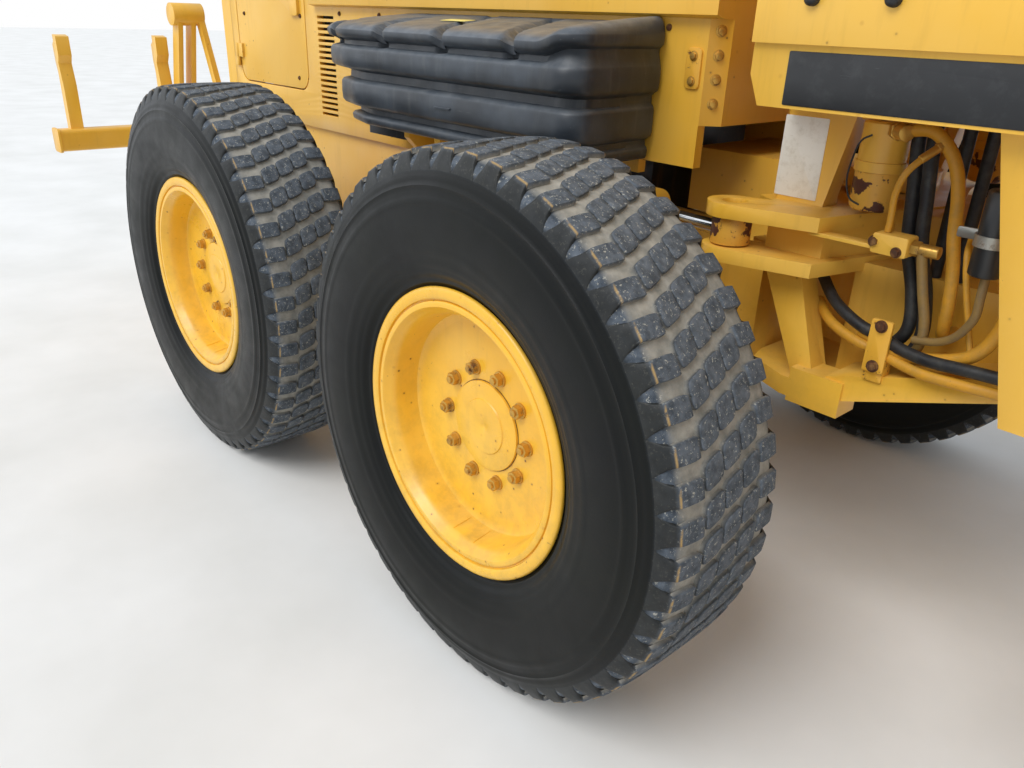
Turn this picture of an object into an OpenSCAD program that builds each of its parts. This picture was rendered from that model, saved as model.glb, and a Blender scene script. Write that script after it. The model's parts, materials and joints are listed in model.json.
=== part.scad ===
// Motor grader with articulated frame, tandem drive, moldboard and rear ripper.
// Millimetres. +X is forward, +Y the machine's left, +Z up from the ground.
// The shapes are drawn from the tandem pivot; at_datum() moves them so that the
// origin is the middle of the ground area that the whole machine covers.

/* [Wheels] */
// outer radius of all six tyres
tyre_r = 672; // [600:1:720]
// section width of a tyre
tyre_w = 375; // [340:1:400]
// outer radius of the rim flange
rim_r = 362; // [350:1:375]
// distance of each wheel's middle plane from the centreline
track_half = 1050; // [1040:1:1080]
// distance between the two axles of a tandem
tandem_spacing = 1575; // [1540:1:1620]
// tandem pivot to front axle
wheelbase = 6200; // [6180:1:6260]
// wheel nuts on a disc
nut_count = 10; // [8:1:12]

/* [Rear body] */
// half width of the engine hood at its foot
hood_half = 450; // [445:1:460]
// top of the engine hood
hood_top = 2120; // [2000:10:2200]
// height of the fuel tank's deck
tank_top = 1560; // [1540:1:1580]
// outer face of a fuel tank
tank_out = 830; // [800:1:840]
// articulation pin forward of the tandem pivot
hitch_x = 1150; // [1140:1:1160]

/* [Cab] */
// half width of the cab
cab_half = 700; // [680:1:705]
// underside of the cab floor
cab_floor = 1650; // [1640:1:1670]
// top of the cab walls
cab_top = 3080; // [3000:10:3100]
// thickness of a cab wall and of a door
wall = 45; // [40:1:50]

/* [Blade] */
// length of the moldboard
blade_len = 3658; // [3400:1:3700]
// radius of the moldboard's curve
blade_r = 420; // [410:1:430]
// plate thickness of the moldboard
blade_t = 22; // [18:1:30]
// outer radius of the blade circle
circle_r = 760; // [750:1:765]
// centre of the blade circle forward of the tandem pivot
circle_x = 3750; // [3740:1:3760]
// ground to the cutting edge, as parked
blade_rest = 60; // [40:1:90]

/* [Fits] */
// radial running clearance of a pin in its bore
run_fit = 0.05; // [0.02:0.01:0.1]
// gap between curved faces that rest on each other
seat_gap = 0.3; // [0.2:0.05:0.4]
// side gap between an eye and its lugs
eye_gap = 2; // [1:0.5:4]

/* [Hidden] */
axle_x = wheelbase;
wheel_z = tyre_r;
x_front = wheelbase + tyre_r;
x_back = -2855;
x_mid = (x_front + x_back) / 2;
hub_bore = 60;
// hubs, tandem cases and kingpins stand in from the wheels' middle planes
case_in = track_half - 395;
case_out = track_half - 205;
rear_hub_in = case_out + 10;
front_hub_in = track_half - 110;
king_y = track_half - 220;
lean_y = track_half - 330;
// ball joint of the drawbar behind the front axle
joint_x = wheelbase - 450;

YELLOW = "#E0A526";
BLACK = "#2B2C2E";
RUBBER = "#33342F";
STEEL = "#9A9C9E";
GLASS = "#8FA7A8";

// Directions and mirrored pairs.
module at_datum() { translate([-x_mid, 0, 0]) children(); }
module on_side(s) { if (s > 0) children(); else mirror([0, 1, 0]) children(); }
module both_sides() { children(); mirror([0, 1, 0]) children(); }

// Round bar along Y, X or Z between two stations.
module bar_y(r, y0, y1, x, z) {
  translate([x, y0, z]) rotate([-90, 0, 0]) cylinder(r = r, h = y1 - y0, $fn = 48);
}
module bar_x(r, x0, x1, y, z) {
  translate([x0, y, z]) rotate([0, 90, 0]) cylinder(r = r, h = x1 - x0, $fn = 48);
}
module bar_z(r, z0, z1, x, y) {
  translate([x, y, z0]) cylinder(r = r, h = z1 - z0, $fn = 48);
}

// Flat plates cut to an outline: seen from the side, from the front, from above.
module side_plate(pts, y0, y1) {
  translate([0, y1, 0]) rotate([90, 0, 0]) linear_extrude(y1 - y0) polygon(pts);
}
module front_plate(pts, x0, x1) {
  translate([x0, 0, 0]) rotate([90, 0, 90]) linear_extrude(x1 - x0) polygon(pts);
}
module plan_plate(pts, z0, z1) {
  translate([0, 0, z0]) linear_extrude(z1 - z0) polygon(pts);
}
module block(x0, x1, y0, y1, z0, z1) {
  translate([x0, y0, z0]) cube([x1 - x0, y1 - y0, z1 - z0]);
}

// Round bar from point a towards point b, from t0 to t1 along the line.
module bar_ab(a, b, r, t0, t1) {
  d = b - a;
  len = norm(d);
  translate(a)
    rotate([0, acos(d[2] / len), atan2(d[1], d[0])])
      translate([0, 0, t0]) cylinder(r = r, h = t1 - t0, $fn = 40);
}

// Outline of a plate of revolution along Y: points are [radius, y].
module turned_y(pts, x, z) {
  translate([x, 0, z]) rotate([-90, 0, 0]) rotate_extrude($fn = 96) polygon(pts);
}

// Hydraulic cylinder parts. The eye's pin runs along eye_dir ("x", "y" or "z").
module eye_round(p, eye_dir, r, half) {
  if (eye_dir == "x") bar_x(r, p[0] - half, p[0] + half, p[1], p[2]);
  if (eye_dir == "y") bar_y(r, p[1] - half, p[1] + half, p[0], p[2]);
  if (eye_dir == "z") bar_z(r, p[2] - half, p[2] + half, p[0], p[1]);
}
module ram_barrel(a, b, length, r, rod_r, eye_dir, eye_r, eye_half, pin_r) {
  difference() {
    union() {
      eye_round(a, eye_dir, eye_r, eye_half);
      bar_ab(a, b, eye_half * 0.9, eye_r * 0.7, eye_r + 20);
      bar_ab(a, b, r, eye_r + 12, length);
      bar_ab(a, b, r + 8, length - 45, length);
    }
    eye_round(a, eye_dir, pin_r + run_fit, eye_half + 1);
    bar_ab(a, b, rod_r + run_fit, eye_r + 25, length + 1);
  }
}
module ram_rod(a, b, start, rod_r, eye_dir, eye_r, eye_half) {
  bar_ab(a, b, rod_r, start, norm(b - a) - eye_r * 0.8);
  eye_round(b, eye_dir, eye_r, eye_half);
}

// Wheels.
bead_r = 312;
tyre_half = tyre_w / 2;
tyre_profile = [ // radius, distance from the middle plane
  [bead_r + seat_gap, 138], [340, 141], [366, 146], [382, 156], [410, 170],
  [450, tyre_half - 6.5], [500, tyre_half - 0.5], [540, tyre_half], [580, tyre_half - 3.5],
  [615, tyre_half - 11.5], [tyre_r - 32, tyre_half - 19.5], [tyre_r - 18, tyre_half - 31.5],
  [tyre_r - 10, 130], [tyre_r - 4, 80], [tyre_r, 30]];
function mirrored(p) = [for (i = [len(p) - 1:-1:0]) [p[i][0], -p[i][1]]];
function shifted(p, y) = [for (q = p) [q[0], q[1] + y]];

module tyre(x) {
  color(RUBBER) turned_y(shifted(concat(tyre_profile, mirrored(tyre_profile)),
    track_half), x, wheel_z);
}

rim_out = 155;
disc_out = 62;
disc_t = 20;
hub_r = 150;
nut_circle_r = 148;
module rim(x, hub_in) {
  y0 = track_half;
  barrel = [ // radius, distance from the middle plane
    [bead_r, 143], [rim_r - 6, 144.5], [rim_r, 150], [rim_r - 4, rim_out],
    [rim_r - 26, rim_out + 2], [322, 146], [300, 140], [290, 128],
    [282, disc_out]];
  inner = [[282, disc_out - disc_t], [276, -80], [290, -128], [322, -146],
    [rim_r - 26, -rim_out - 2], [rim_r - 4, -rim_out], [rim_r, -150],
    [rim_r - 6, -144.5], [bead_r, -143]];
  color(YELLOW) difference() {
    union() {
      turned_y(shifted(concat(barrel, inner), y0), x, wheel_z);
      turned_y(shifted([[hub_bore + run_fit, disc_out - disc_t],
        [hub_bore + run_fit, disc_out], [270, disc_out], [283, disc_out + 4],
        [283, disc_out - disc_t - 4], [270, disc_out - disc_t]], y0), x, wheel_z);
      difference() {
        bar_y(hub_r, hub_in, y0 + disc_out - 1, x, wheel_z);
        bar_y(hub_bore + run_fit, hub_in - 1, y0 + 45, x, wheel_z);
      }
      bar_y(116, y0 + disc_out - 2, y0 + disc_out + 12, x, wheel_z);
      bar_y(70, y0 + disc_out, y0 + disc_out + 16, x, wheel_z);
      for (i = [0:nut_count - 1])
        translate([x, 0, wheel_z]) rotate([0, (i + 0.5) * 360 / nut_count, 0])
          bar_y(17, y0 + disc_out - 1, y0 + disc_out + 26, nut_circle_r, 0);
    }
  }
}

// Rear body.
rail_in = 330;
rail_out = 430;
rail_top = 1120;
rail_low = 980;
nose_half = 200;
nose_top = 1255;
pin_r = 60;
axle_r = 150;
journal_r = 120;
mount_x = -2080;
ram_pin = 28;
artic_z = 1112.5;
artic_foot = [200, 400, artic_z];
artic_eye = [980, 470, artic_z];
ripper_pivot = [-2160, 0, 820];
ripper_top = [-2150, 0, 1440];

module rear_frame() {
  color(YELLOW) difference() {
    union() {
      both_sides() {
        side_plate([[mount_x, 800], [mount_x, rail_top], [100, rail_top],
          [100, rail_low], [720, rail_low], [720, 760], [420, 735],
          [-1500, 735]], rail_in, rail_out);
        // foot of the steering ram at the hitch
        for (z = [artic_z - 72, artic_z + 37]) block(99, 245, 345, rail_out, z, z + 35);
        block(99, 145, 345, rail_out, rail_top - 1, artic_z + 71);
        bar_z(ram_pin, artic_z - 71, artic_z + 71, artic_foot[0], artic_foot[1]);
        // gussets that carry the tank
        for (x = [-230, -60])
          front_plate([[rail_out - 1, 990], [rail_out - 1, rail_top],
            [hood_half, rail_top], [hood_half, 1238], [640, 1238], [640, 1205]],
            x, x + 30);
        // ripper lugs
        for (y = [250, 330])
          side_plate([[mount_x + 1, 760], [ripper_pivot[0] - 60, 760],
            [ripper_pivot[0] - 60, 880], [mount_x + 1, 960]], y, y + 30);
      }
      // nose, its two plates and the articulation pin
      block(600, 720, -rail_in - 1, rail_in + 1, 760, rail_low);
      block(640, 930, -nose_half, nose_half, 640, nose_top);
      for (z = [640, nose_top - 50]) {
        block(929, hitch_x, -120, 120, z, z + 50);
        bar_z(120, z, z + 50, hitch_x, 0);
      }
      bar_z(pin_r, 660, nose_top - 20, hitch_x, 0);
      bar_z(85, nose_top - 1, nose_top + 12, hitch_x, 0);
      // cross members and rear plate
      for (x = [-1300, -600]) bar_y(55, -rail_in - 1, rail_in + 1, x, 820);
      block(mount_x, mount_x + 40, -rail_in - 1, rail_in + 1, 800, rail_top);
      // tower that holds the ripper ram
      both_sides()
        side_plate([[mount_x + 1, 900], [mount_x - 20, 900],
          [ripper_top[0] - 60, 1380], [ripper_top[0] - 60, 1480],
          [ripper_top[0], 1500], [mount_x + 1, 1500]], 50, 80);
      block(mount_x, mount_x + 25, -120, 120, 850, 1500);
      bar_y(ram_pin, -70, 70, ripper_top[0], ripper_top[2]);
      for (s = [-1, 1]) bar_y(30, s * 292 - 60, s * 292 + 60, ripper_pivot[0],
        ripper_pivot[2]);
    }
    bar_y(axle_r + seat_gap, -rail_out - 1, rail_out + 1, 0, wheel_z);
  }
}

module rear_axle() {
  profile = [[215, 200], [axle_r, 300], [axle_r, case_in - 95], [190, case_in - 55],
    [190, case_in - 5], [journal_r, case_in - 5], [journal_r, case_in + 100],
    [0, case_in + 100]];
  color(YELLOW) {
    turned_y(concat(mirrored(profile), profile), 0, wheel_z);
    bar_x(110, 180, 330, 0, wheel_z);
  }
}

module powertrain() {
  color(BLACK) {
    block(-1700, -500, -290, 290, 950, 1800);
    side_plate([[-501, 950], [-501, 1500], [-200, 1420], [520, 1300],
      [520, 930], [0, 900], [-200, 930]], -235, 235);
    for (x = [-1500, -800]) block(x, x + 120, -rail_in, rail_in, 1000, 1060);
  }
}

hood_back = -1950;
hood_front = 865;
door_x0 = -1875;
door_x1 = -1225;
door_z0 = 1270;
door_z1 = 1930;
door_gap = 6;
hood_wall = 30;
door_hinge = [-1885, hood_half + 10];
function hood_outer() = [[hood_half, rail_top], [hood_half, hood_top - 90],
  [hood_half - 60, hood_top], [-hood_half + 60, hood_top], [-hood_half, hood_top - 90],
  [-hood_half, rail_top]];
function hood_inner() = [[hood_half - hood_wall, rail_top - 1],
  [hood_half - hood_wall, hood_top - 120], [hood_half - 80, hood_top - hood_wall],
  [-hood_half + 80, hood_top - hood_wall], [-hood_half + hood_wall, hood_top - 120],
  [-hood_half + hood_wall, rail_top - 1]];

// A panel outline with round corners, seen from the side.
module round_panel(x0, x1, z0, z1, r, y0, y1) {
  translate([0, y1, 0]) rotate([90, 0, 0]) linear_extrude(y1 - y0) union() {
    translate([x0 + r, z0]) square([x1 - x0 - 2 * r, z1 - z0]);
    translate([x0, z0 + r]) square([x1 - x0, z1 - z0 - 2 * r]);
    for (x = [x0 + r, x1 - r], z = [z0 + r, z1 - r])
      translate([x, z]) circle(r = r, $fn = 32);
  }
}

ledge_x = -1135;
ledge_z = 1598;
ledge = 30;
cheek_x = 825;
louvre_x = -1120;
louvre_z = 1180;
louvre_pitch = 22;
louvre_count = 18;
module hood() {
  color(YELLOW) difference() {
    union() {
      difference() {
        front_plate(hood_outer(), hood_back, hood_front);
        front_plate(hood_inner(), hood_back - 1, hood_front - hood_wall);
        both_sides() round_panel(door_x0 - door_gap, door_x1 + door_gap,
          door_z0 - door_gap, door_z1 + door_gap, 70, hood_half - 60, hood_half + 60);
      }
      both_sides() {
        for (z = [1330, 1790]) {
          bar_z(9, z, z + 40, door_hinge[0], door_hinge[1]);
          block(door_hinge[0] - 40, door_hinge[0], hood_half - 1, hood_half + 10, z, z + 40);
        }
        // wider upper part that overhangs the tank
        front_plate([[hood_half - 1, ledge_z], [hood_half + ledge, ledge_z + 8],
          [hood_half + ledge, hood_top - 140], [hood_half - 1, hood_top - 120]],
          ledge_x, hood_front);
      }
    }
    // low edges, which clear the rams and the ears of the turned front frame
    block(90, hood_front + 1, -hood_half - 1, hood_half + 1, rail_top - 1, 1200);
    block(640, hood_front + 1, -hood_half - 1, hood_half + 1, rail_top - 1, 1238);
    block(cheek_x, hood_front + 1, -hood_half - 1, hood_half + 1, rail_top - 1, 1346);
    both_sides() plan_plate([[cheek_x, hood_half + 1], [hood_front + 1, hood_half + 1],
      [hood_front + 1, hood_half - 45]], rail_top, ledge_z);
    both_sides() for (i = [0:louvre_count - 1])
      block(louvre_x, louvre_x + 130, hood_half - 50, hood_half + 1,
        louvre_z + i * louvre_pitch, louvre_z + i * louvre_pitch + 11);
    for (i = [0:11]) block(-900 + i * 45, -900 + i * 45 + 22, -260, 260,
      hood_top - 60, hood_top + 1);
  }
}

module radiator_grille() {
  color(YELLOW) {
    difference() {
      block(hood_back - 90, hood_back, -hood_half, hood_half, rail_top, hood_top - 60);
      block(hood_back - 91, hood_back + 1, -370, 370, 1220, 1980);
    }
    for (i = [0:12]) block(hood_back - 70, hood_back - 45, -371, 371,
      1240 + i * 56, 1240 + i * 56 + 26);
    for (y = [-180, 0, 180]) block(hood_back - 46, hood_back - 30, y - 10, y + 10,
      1219, 1981);
    both_sides() bar_x(45, hood_back - 112, hood_back - 89, 410, 1180);
  }
}

tank_front = 740;
tank_rear = -555;
channel_x = [-380, -87, 207, 500];
channel_half = 13;
channel_slant = 205;

// Outline of the tank from above, drawn in by i all round.
function tank_plan(i) = [[tank_rear + i, hood_half],
  [tank_rear + 8 + i, tank_out - 180 - 0.3 * i],
  [tank_rear + 50 + i, tank_out - 70 - 0.8 * i],
  [tank_rear + 245 + 0.5 * i, tank_out - 8 - i],
  [tank_front - 50 - 0.4 * i, tank_out - i],
  [tank_front - 2 - 0.6 * i, tank_out - 50 - 0.7 * i],
  [tank_front - 38 - 0.4 * i, hood_half]];

module tank_body() {
  deck = tank_top - 26;
  // proud belts from the top down: z0, z1, inset
  for (t = [[deck - 29, deck, 4], [1418, 1487, 9], [1299, 1384, 36], [1244, 1276, 64]])
    plan_plate(tank_plan(t[2]), t[0], t[1]);
  plan_plate(tank_plan(86), 1238, deck);
  block(tank_rear + 45, tank_rear + 295, hood_half + 10, tank_out - 140, 1190, 1239);
  // sloping pads on the deck, parted by slanting channels
  ends = concat([tank_rear - 200], channel_x, [tank_front + channel_slant]);
  intersection() {
    plan_plate(tank_plan(14), deck - 1, tank_top + 40);
    front_plate([[hood_half, deck - 1], [hood_half, tank_top + 27],
      [tank_out - 60, tank_top - 6], [tank_out - 14, deck + 6], [tank_out, deck - 1]],
      tank_rear, tank_front);
    union() for (i = [0:len(ends) - 2])
      plan_plate([[ends[i] + channel_half, tank_out], [ends[i + 1] - channel_half, tank_out],
        [ends[i + 1] - channel_half - channel_slant, hood_half],
        [ends[i] + channel_half - channel_slant, hood_half]], deck - 2, tank_top + 41);
  }
}
module fuel_tank() {
  color(BLACK) both_sides() tank_body();
}

module exhaust_intake() {
  color(BLACK) {
    bar_z(75, hood_top, hood_top + 420, -620, -210);
    bar_z(42, hood_top + 419, hood_top + 700, -620, -210);
    bar_z(55, hood_top, hood_top + 200, -180, 200);
    bar_z(120, hood_top + 199, hood_top + 330, -180, 200);
    translate([-180, 200, hood_top + 329])
      cylinder(r1 = 120, r2 = 70, h = 40, $fn = 48);
  }
}

module engine_door(s) {
  color(YELLOW) on_side(s) {
    round_panel(door_x0, door_x1, door_z0, door_z1, 66, hood_half - 30, hood_half);
    for (z = [1370 + run_fit, 1830 + run_fit]) {
      bar_z(9, z, z + 60, door_hinge[0], door_hinge[1]);
      block(door_hinge[0], door_x0 + 40, hood_half + 2, hood_half + 12, z, z + 60);
      block(door_x0 + 12, door_x0 + 40, hood_half - 1, hood_half + 3, z, z + 60);
    }
    round_panel(door_x1 - 110, door_x1 - 40, 1560, 1640, 12, hood_half - 1,
      hood_half + 14);
  }
}

case_r = 205;
module tandem_case(s) {
  half = tandem_spacing / 2;
  color(YELLOW) on_side(s) {
    difference() {
      union() {
        for (x = [-half, half]) bar_y(case_r, case_in, case_out, x, wheel_z);
        side_plate([[-half, wheel_z - case_r], [half, wheel_z - case_r],
          [half, wheel_z + case_r], [180, wheel_z + 240], [-180, wheel_z + 240],
          [-half, wheel_z + case_r]], case_in, case_out);
      }
      bar_y(journal_r + run_fit, case_in - 1, case_in + 105, 0, wheel_z);
    }
    for (x = [-half, half])
      bar_y(hub_bore, case_out - 1, track_half + 40, x, wheel_z);
  }
}

// Ripper.
beam_x = -2800;
beam_z = 910;
ripper_eye = [-2600, 0, 960];
shank_y = [-1000, -500, 0, 500, 1000];
module ripper() {
  color(YELLOW) {
    difference() {
      union() {
        round_panel(beam_x - 50, beam_x + 55, beam_z - 55, beam_z + 55, 18, -1100, 1100);
        both_sides() {
          // lifting arms
          side_plate([[beam_x + 54, beam_z - 50], [ripper_pivot[0], 770],
            [ripper_pivot[0] + 50, 790], [ripper_pivot[0] + 50, 850],
            [ripper_pivot[0], 872], [beam_x + 54, beam_z + 54]], 285, 325);
          bar_y(52, 285, 325, ripper_pivot[0], ripper_pivot[2]);
          // link towers with round heads
          for (y = [370, 440])
            side_plate([[beam_x - 40, beam_z + 54], [beam_x + 50, beam_z + 54],
              [beam_x + 215, 1500], [beam_x + 145, 1530]], y, y + 26);
          bar_y(56, 324, 488, beam_x + 175, 1540);
          // brace from the head down to the lifting arm, and the beam's end plate
          side_plate([[beam_x + 150, 1560], [beam_x + 195, 1575], [beam_x + 492, 880],
            [beam_x + 450, 862]], 324, 353);
          round_panel(beam_x - 55, beam_x + 61, beam_z - 61, beam_z + 61, 20, 1099, 1112);
        }
      }
      both_sides() bar_y(30 + run_fit, 284, 326, ripper_pivot[0], ripper_pivot[2]);
    }
    // ram lugs on the beam
    both_sides() {
      side_plate([[beam_x + 54, beam_z - 45], [ripper_eye[0] + 10, 900],
        [ripper_eye[0] + 50, 935], [ripper_eye[0] + 50, 985], [ripper_eye[0], 1010],
        [beam_x + 54, beam_z + 54]], 36, 60);
    }
    // shanks in their raised position
    for (y = shank_y) if (y != 0)
      side_plate([[beam_x - 45, beam_z + 54], [beam_x + 10, beam_z + 54],
        [beam_x + 16, 1180], [beam_x - 4, 1290], [beam_x + 22, 1330],
        [beam_x + 22, 1420], [beam_x - 30, 1428], [beam_x - 30, 1395],
        [beam_x - 55, 1380], [beam_x - 55, 1300], [beam_x - 40, 1240]],
        y - 32, y + 32);
  }
}
module ripper_barrel() {
  color(YELLOW) ram_barrel(ripper_top, ripper_eye, 480, 45, 24, "y", 48,
    50 - 2 * eye_gap, ram_pin);
}
module ripper_rod() {
  color(STEEL) ram_rod(ripper_top, ripper_eye, 85, 24, "y", 40, 36 - 2 * eye_gap);
}

// Front frame.
flange_lo = 1040;
flange_t = 35;
flange_up = 1150;
plate_z = 720;
plate_t = 50;
deck_x0 = 1115;
deck_x1 = 2740;
beam_y0 = 620;
beam_low = 1435;
beam_lip = 1556;
beam_step = 12;
main_half = 190;
bolt_r = 11;
joint_z = 930;
saddle_x = circle_x - 300;
lift_foot = [saddle_x, 500, 1850];
lift_eye = [saddle_x, 620, 1085];
yoke_half = 365;

// Top of the side shelf that rises forward from the hitch.
function shelf_z(x) = 803 + (x - 1290) * 0.327;

// Hitch plate: from the rear corner round to the receding front edge.
module hitch_plan(z0, z1) {
  side = [[1035, 275], [985, 290], [975, 350], [1060, 400], [1150, 466], [1216, 475],
    [1270, 240]];
  plan_plate(concat(side, [[1345, 0]], [for (i = [len(side) - 1:-1:0])
    [side[i][0], -side[i][1]]]), z0, z1);
}

module front_frame() {
  color(YELLOW) {
    difference() {
      union() {
        // flanges, bottom plate and the post around the articulation pin
        hitch_plan(flange_up, flange_up + flange_t);
        hitch_plan(flange_lo, flange_lo + flange_t);
        plan_plate([[1040, -330], [1060, -400], [1180, -450], [1305, -450], [1320, -370],
          [1320, 370], [1305, 450], [1180, 450], [1060, 400], [1040, 330]],
          plate_z, plate_z + plate_t);
        bar_z(110, plate_z - 14, flange_up + flange_t + 14, hitch_x, 0);
        both_sides() {
          // ears of the articulation rams
          for (z = [flange_lo, flange_up]) {
            bar_z(68, z, z + flange_t, artic_eye[0], artic_eye[1]);
            plan_plate([[960, 406], [1100, 360], [1216, 475], [994, 536]], z, z + flange_t);
          }
          // wall between the flanges
          plan_plate([[1050, 372], [1050, 414], [1200, 408], [1262, 215], [1322, -1],
            [1282, -1], [1222, 205], [1170, 368]], flange_lo + flange_t - 1, flange_up + 1);
          // leaning leg down to its foot block
          side_plate([[1058, flange_lo + 1], [1162, flange_lo + 1], [1249, plate_z + 49],
            [1187, plate_z + 49]], 350, 420);
          block(1200, 1340, 362, 450, plate_z - 12, 800);
          // upper column with its slanted front edge
          plan_plate([[995, 280], [995, 312], [1022, 350], [1150, 350], [1150, 280]],
            flange_up + flange_t - 1, beam_low + 1);
          side_plate([[1140, flange_up + flange_t - 1], [1150, flange_up + flange_t - 1],
            [1202, beam_low + 1], [1140, beam_low + 1]], 290, 350);
          // side beam under the cab: a proud strip above the recess of the bare panel
          side_plate([[deck_x0 + 26, beam_low], [deck_x1, beam_low],
            [deck_x1 + 40, cab_floor], [deck_x0, cab_floor], [deck_x0, beam_low + 60]],
            beam_y0, cab_half - beam_step);
          side_plate([[deck_x0, beam_lip], [deck_x1 + 20, beam_lip],
            [deck_x1 + 40, cab_floor], [deck_x0, cab_floor]],
            cab_half - beam_step - 1, cab_half);
          // leaning post of the step bay and its strut
          side_plate([[1735, 905], [1820, 905], [1688, beam_low + 1], [1602, beam_low + 1]],
            545, 640);
          block(1775, 1850, 280, 600, 905, 985);
          // brackets that hold the side beams to the main beam
          for (x = [1250, 2000, 2600])
            front_plate([[150, 1440], [beam_y0 + 1, 1440], [beam_y0 + 1, 1570],
              [150, 1570]], x, x + 60);
        }
        block(1030, 1255, -441, 441, beam_low, beam_low + 61);
        block(deck_x0, deck_x1, -beam_y0 - 1, beam_y0 + 1, cab_floor - 30, cab_floor);
        // wide foot of the main beam and the shelves that rise along it
        side_plate([[1240, 765], [1320, 750], [1960, 965], [1960, 1060], [1240, 1060]],
          -290, 290);
        side_plate([[1290, 735], [1351, 757], [1960, 977], [1960, shelf_z(1960)],
          [1290, shelf_z(1290)]], -440, 440);
        // main beam from the hitch up, over the circle and down to the front axle
        side_plate([[1240, 760], [1330, 750], [1960, 960], [2750, 1430],
          [axle_x - 1700, 1460], [axle_x - 650, 1200], [axle_x - 200, 1110],
          [axle_x + 320, 1110], [axle_x + 400, 1180], [axle_x + 400, 1330],
          [axle_x - 150, 1450], [axle_x - 1600, 1800], [2900, 1790], [2700, 1570],
          [1640, 1570], [1640, 1180], [1240, 1180]], -main_half, main_half);
        // yoke that carries the lift rams
        front_plate([[-yoke_half, 1800], [-yoke_half, 1890], [-230, 1910], [230, 1910],
          [yoke_half, 1890], [yoke_half, 1800], [250, 1780], [-250, 1780]],
          saddle_x - 50, saddle_x + 50);
        block(saddle_x - 120, saddle_x + 120, -main_half - 30, main_half + 30,
          1440, 1870);
        // drawbar lugs
        both_sides() side_plate([[joint_x - 90, 880], [joint_x + 90, 880],
          [joint_x + 150, 1180], [joint_x - 190, 1260]], 115, 155);
        // front axle lugs with the pivot pin
        for (x = [axle_x - 150, axle_x + 112])
          front_plate([[-95, 1150], [-95, 800], [-60, 720], [60, 720], [95, 800],
            [95, 1150]], x, x + 38);
        bar_x(45, axle_x - 149, axle_x + 149, 0, 800);
        // push block at the nose
        block(axle_x + 399, x_front, -300, 300, 1130, 1340);
      }
      bar_z(pin_r + run_fit, plate_z - 30, flange_up + flange_t + 30, hitch_x, 0);
      both_sides() bar_z(32, flange_up - 1, flange_up + flange_t + 1, artic_eye[0],
        artic_eye[1]);
      // four bolt holes in the face of the push block
      both_sides() for (z = [1185, 1285])
        bar_x(bolt_r, x_front - 60, x_front + 1, 240, z);
      both_sides() bar_y(30 + run_fit, 110, 160, joint_x, joint_z);
    }
    // trunnion straps around the lift rams
    both_sides() difference() {
      for (x = [saddle_x - 100, saddle_x + 76])
        front_plate([[180, 1800], [180, 1880], [440, 1905], [520, 1905], [560, 1875],
          [560, 1825], [520, 1795], [440, 1795]], x, x + 24);
      bar_x(32 + run_fit, saddle_x - 101, saddle_x + 101, lift_foot[1], lift_foot[2]);
    }
  }
}

// Cab.
cab_back = 1100;
cab_front = 2700;
glass_t = 8;
door_a = 1330;
door_b = 2210;
door_low = cab_floor + 70;
door_high = cab_top - 110;
pane_low = 2120;
function cab_side(o) = [[cab_back + o, cab_floor + o], [cab_front - 60 - o, cab_floor + o],
  [cab_front - o, 1900], [cab_front - 40 - o, cab_top - o], [cab_back + 40 + o, cab_top - o],
  [cab_back + o, 2100]];

module cab() {
  color(YELLOW) {
    difference() {
      side_plate(cab_side(0), -cab_half, cab_half);
      side_plate(cab_side(wall), -cab_half + wall, cab_half - wall);
      both_sides() {
        block(door_a - 6, door_b + 6, cab_half - wall - 2, cab_half + 2, door_low - 6,
          door_high + 6);
        block(door_b + 70, cab_front - 110, cab_half - wall - 2, cab_half + 2, 1860,
          cab_top - 120);
        block(cab_back + 80, door_a - 70, cab_half - wall - 2, cab_half + 2, 2150,
          cab_top - 120);
      }
      block(cab_front - 120, cab_front + 20, -cab_half + 110, cab_half - 110, 1900,
        cab_top - 130);
      block(cab_back - 20, cab_back + 120, -cab_half + 130, cab_half - 130, 2150,
        cab_top - 130);
    }
    // roof with its overhang
    side_plate([[cab_back - 10, cab_top], [cab_front + 60, cab_top],
      [cab_front + 90, cab_top + 30], [cab_front + 20, cab_top + 85],
      [cab_back + 40, cab_top + 85], [cab_back - 20, cab_top + 30]],
      -cab_half - 10, cab_half + 10);
    both_sides() for (z = [door_low + 120, door_high - 220]) {
      bar_z(12, z, z + 40, door_a - 16, cab_half + 13);
      block(door_a - 60, door_a - 16, cab_half - 1, cab_half + 13, z, z + 40);
    }
  }
}

module cab_glass() {
  color(GLASS) {
    side_plate([[cab_front - 26, 1900], [cab_front - 26 + glass_t, 1900],
      [cab_front - 60 + glass_t, cab_top - 130], [cab_front - 60, cab_top - 130]],
      -cab_half + 110, cab_half - 110);
    side_plate([[cab_back + 20, 2150], [cab_back + 20 + glass_t, 2150],
      [cab_back + 53 + glass_t, cab_top - 130], [cab_back + 53, cab_top - 130]],
      -cab_half + 130, cab_half - 130);
    both_sides() {
      block(door_b + 70, cab_front - 110, cab_half - 26, cab_half - 26 + glass_t, 1860,
        cab_top - 120);
      block(cab_back + 80, door_a - 70, cab_half - 26, cab_half - 26 + glass_t, 2150,
        cab_top - 120);
    }
  }
}

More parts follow.
